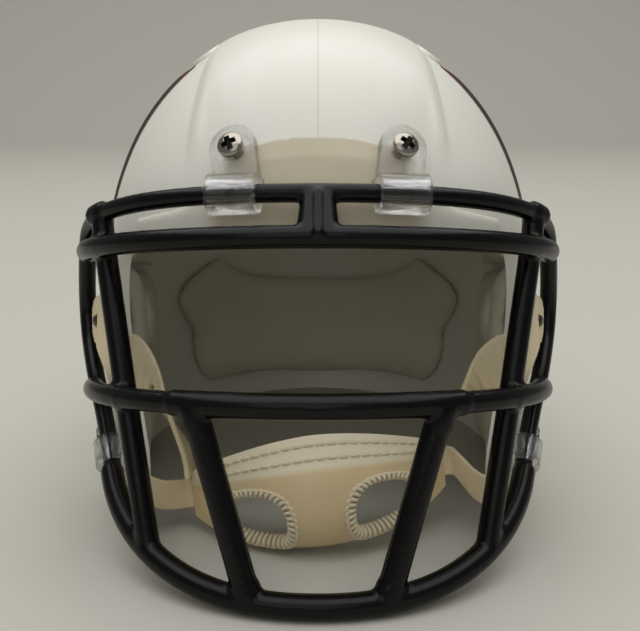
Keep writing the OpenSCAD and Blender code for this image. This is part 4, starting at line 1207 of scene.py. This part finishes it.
class HELMET_OT_stage(bpy.types.Operator):
    """Paper sweep, soft lights and the camera"""
    bl_idname = "helmet.stage"
    bl_label = "Stage"

    def execute(self, context):
        scene = context.scene
        settings = scene.helmet_stage
        if settings.show_floor:
            obj = primitive("grid", x_subdivisions=2, y_subdivisions=60, size=1)
            points = get_points(obj)
            run = (points[:, 1] + 0.5) * SWEEP_LONG
            bend = np.clip((run - SWEEP_FLAT) / SWEEP_BEND, 0, 1) * math.pi / 2
            y = np.minimum(run, SWEEP_FLAT) - SWEEP_FLAT / 2 + SWEEP_R * np.sin(bend)
            z = SWEEP_R * (1 - np.cos(bend)) + np.maximum(run - SWEEP_FLAT - SWEEP_BEND, 0)
            set_points(obj, np.stack([points[:, 0] * 5, y, z], 1))
            obj.name = "paper_sweep"
            smooth_faces(obj)
            obj.data.materials.append(material("seamless_paper", seamless_paper, settings.paper))
        world = bpy.data.worlds.new("soft_room")
        scene.world = world
        world.use_nodes = True
        background = world.node_tree.nodes["Background"].inputs
        background["Color"].default_value = colour("#DDE0E2")
        background["Strength"].default_value = 0.28
        for name, spot, aim, size, power in (
                ("key_overhead", (0.0, 0.05, 1.25), (0, 0, 0.05), 2.0, settings.key_power),
                ("front_fill", (-0.2, -1.3, 0.8), (0, 0, 0.06), 1.0, settings.key_power * 0.1)):
            light = bpy.data.lights.new(name, "AREA")
            light.energy, light.size = power, size
            lamp = new_object(name, light)
            lamp.location = spot
            lamp.rotation_euler = (Vector(aim) - Vector(spot)).to_track_quat("-Z", "Y").to_euler()
        camera = bpy.data.cameras.new("camera")
        eye = new_object("camera", camera)
        camera.lens = FOCAL_PX / PHOTO_PX * SENSOR
        camera.sensor_width = SENSOR
        camera.shift_x, camera.shift_y = 2 / PHOTO_PX, 0
        camera.clip_start, camera.clip_end = 0.01, 20
        eye.location = EYE
        eye.rotation_euler = (math.radians(90 - LOOK_DOWN), 0, 0)
        scene.camera = eye
        scene.view_settings.view_transform = "Standard"
        return {"FINISHED"}


class HELMET_PT_panel(bpy.types.Panel):
    """Sizes and looks that may be changed, and the steps in their order"""
    bl_idname = "HELMET_PT_panel"
    bl_label = "Football helmet"
    bl_space_type = "VIEW_3D"
    bl_region_type = "UI"
    bl_category = "Helmet"

    def draw(self, context):
        for group in (context.scene.helmet_shell, context.scene.helmet_strap, context.scene.helmet_stage):
            box = self.layout.box()
            for name in group.__annotations__:
                box.prop(group, name)
        for step in STEPS:
            self.layout.operator(step.bl_idname)


STEPS = (HELMET_OT_stage, HELMET_OT_shell, HELMET_OT_vent_lips, HELMET_OT_badges, HELMET_OT_bumpers,
         HELMET_OT_guard, HELMET_OT_clips, HELMET_OT_screws, HELMET_OT_metal, HELMET_OT_pads,
         HELMET_OT_chin_cup, HELMET_OT_legs)
CLASSES = (HelmetShellSettings, HelmetStrapSettings, HelmetStageSettings, *STEPS, HELMET_PT_panel)


def register():
    for one in CLASSES:
        bpy.utils.register_class(one)
    bpy.types.Scene.helmet_shell = PointerProperty(type=HelmetShellSettings)
    bpy.types.Scene.helmet_strap = PointerProperty(type=HelmetStrapSettings)
    bpy.types.Scene.helmet_stage = PointerProperty(type=HelmetStageSettings)


def unregister():
    del bpy.types.Scene.helmet_stage
    del bpy.types.Scene.helmet_strap
    del bpy.types.Scene.helmet_shell
    for one in reversed(CLASSES):
        bpy.utils.unregister_class(one)


def main():
    register()
    for step in STEPS:
        group, name = step.bl_idname.split(".")
        getattr(getattr(bpy.ops, group), name)()


if __name__ == "__main__":
    main()
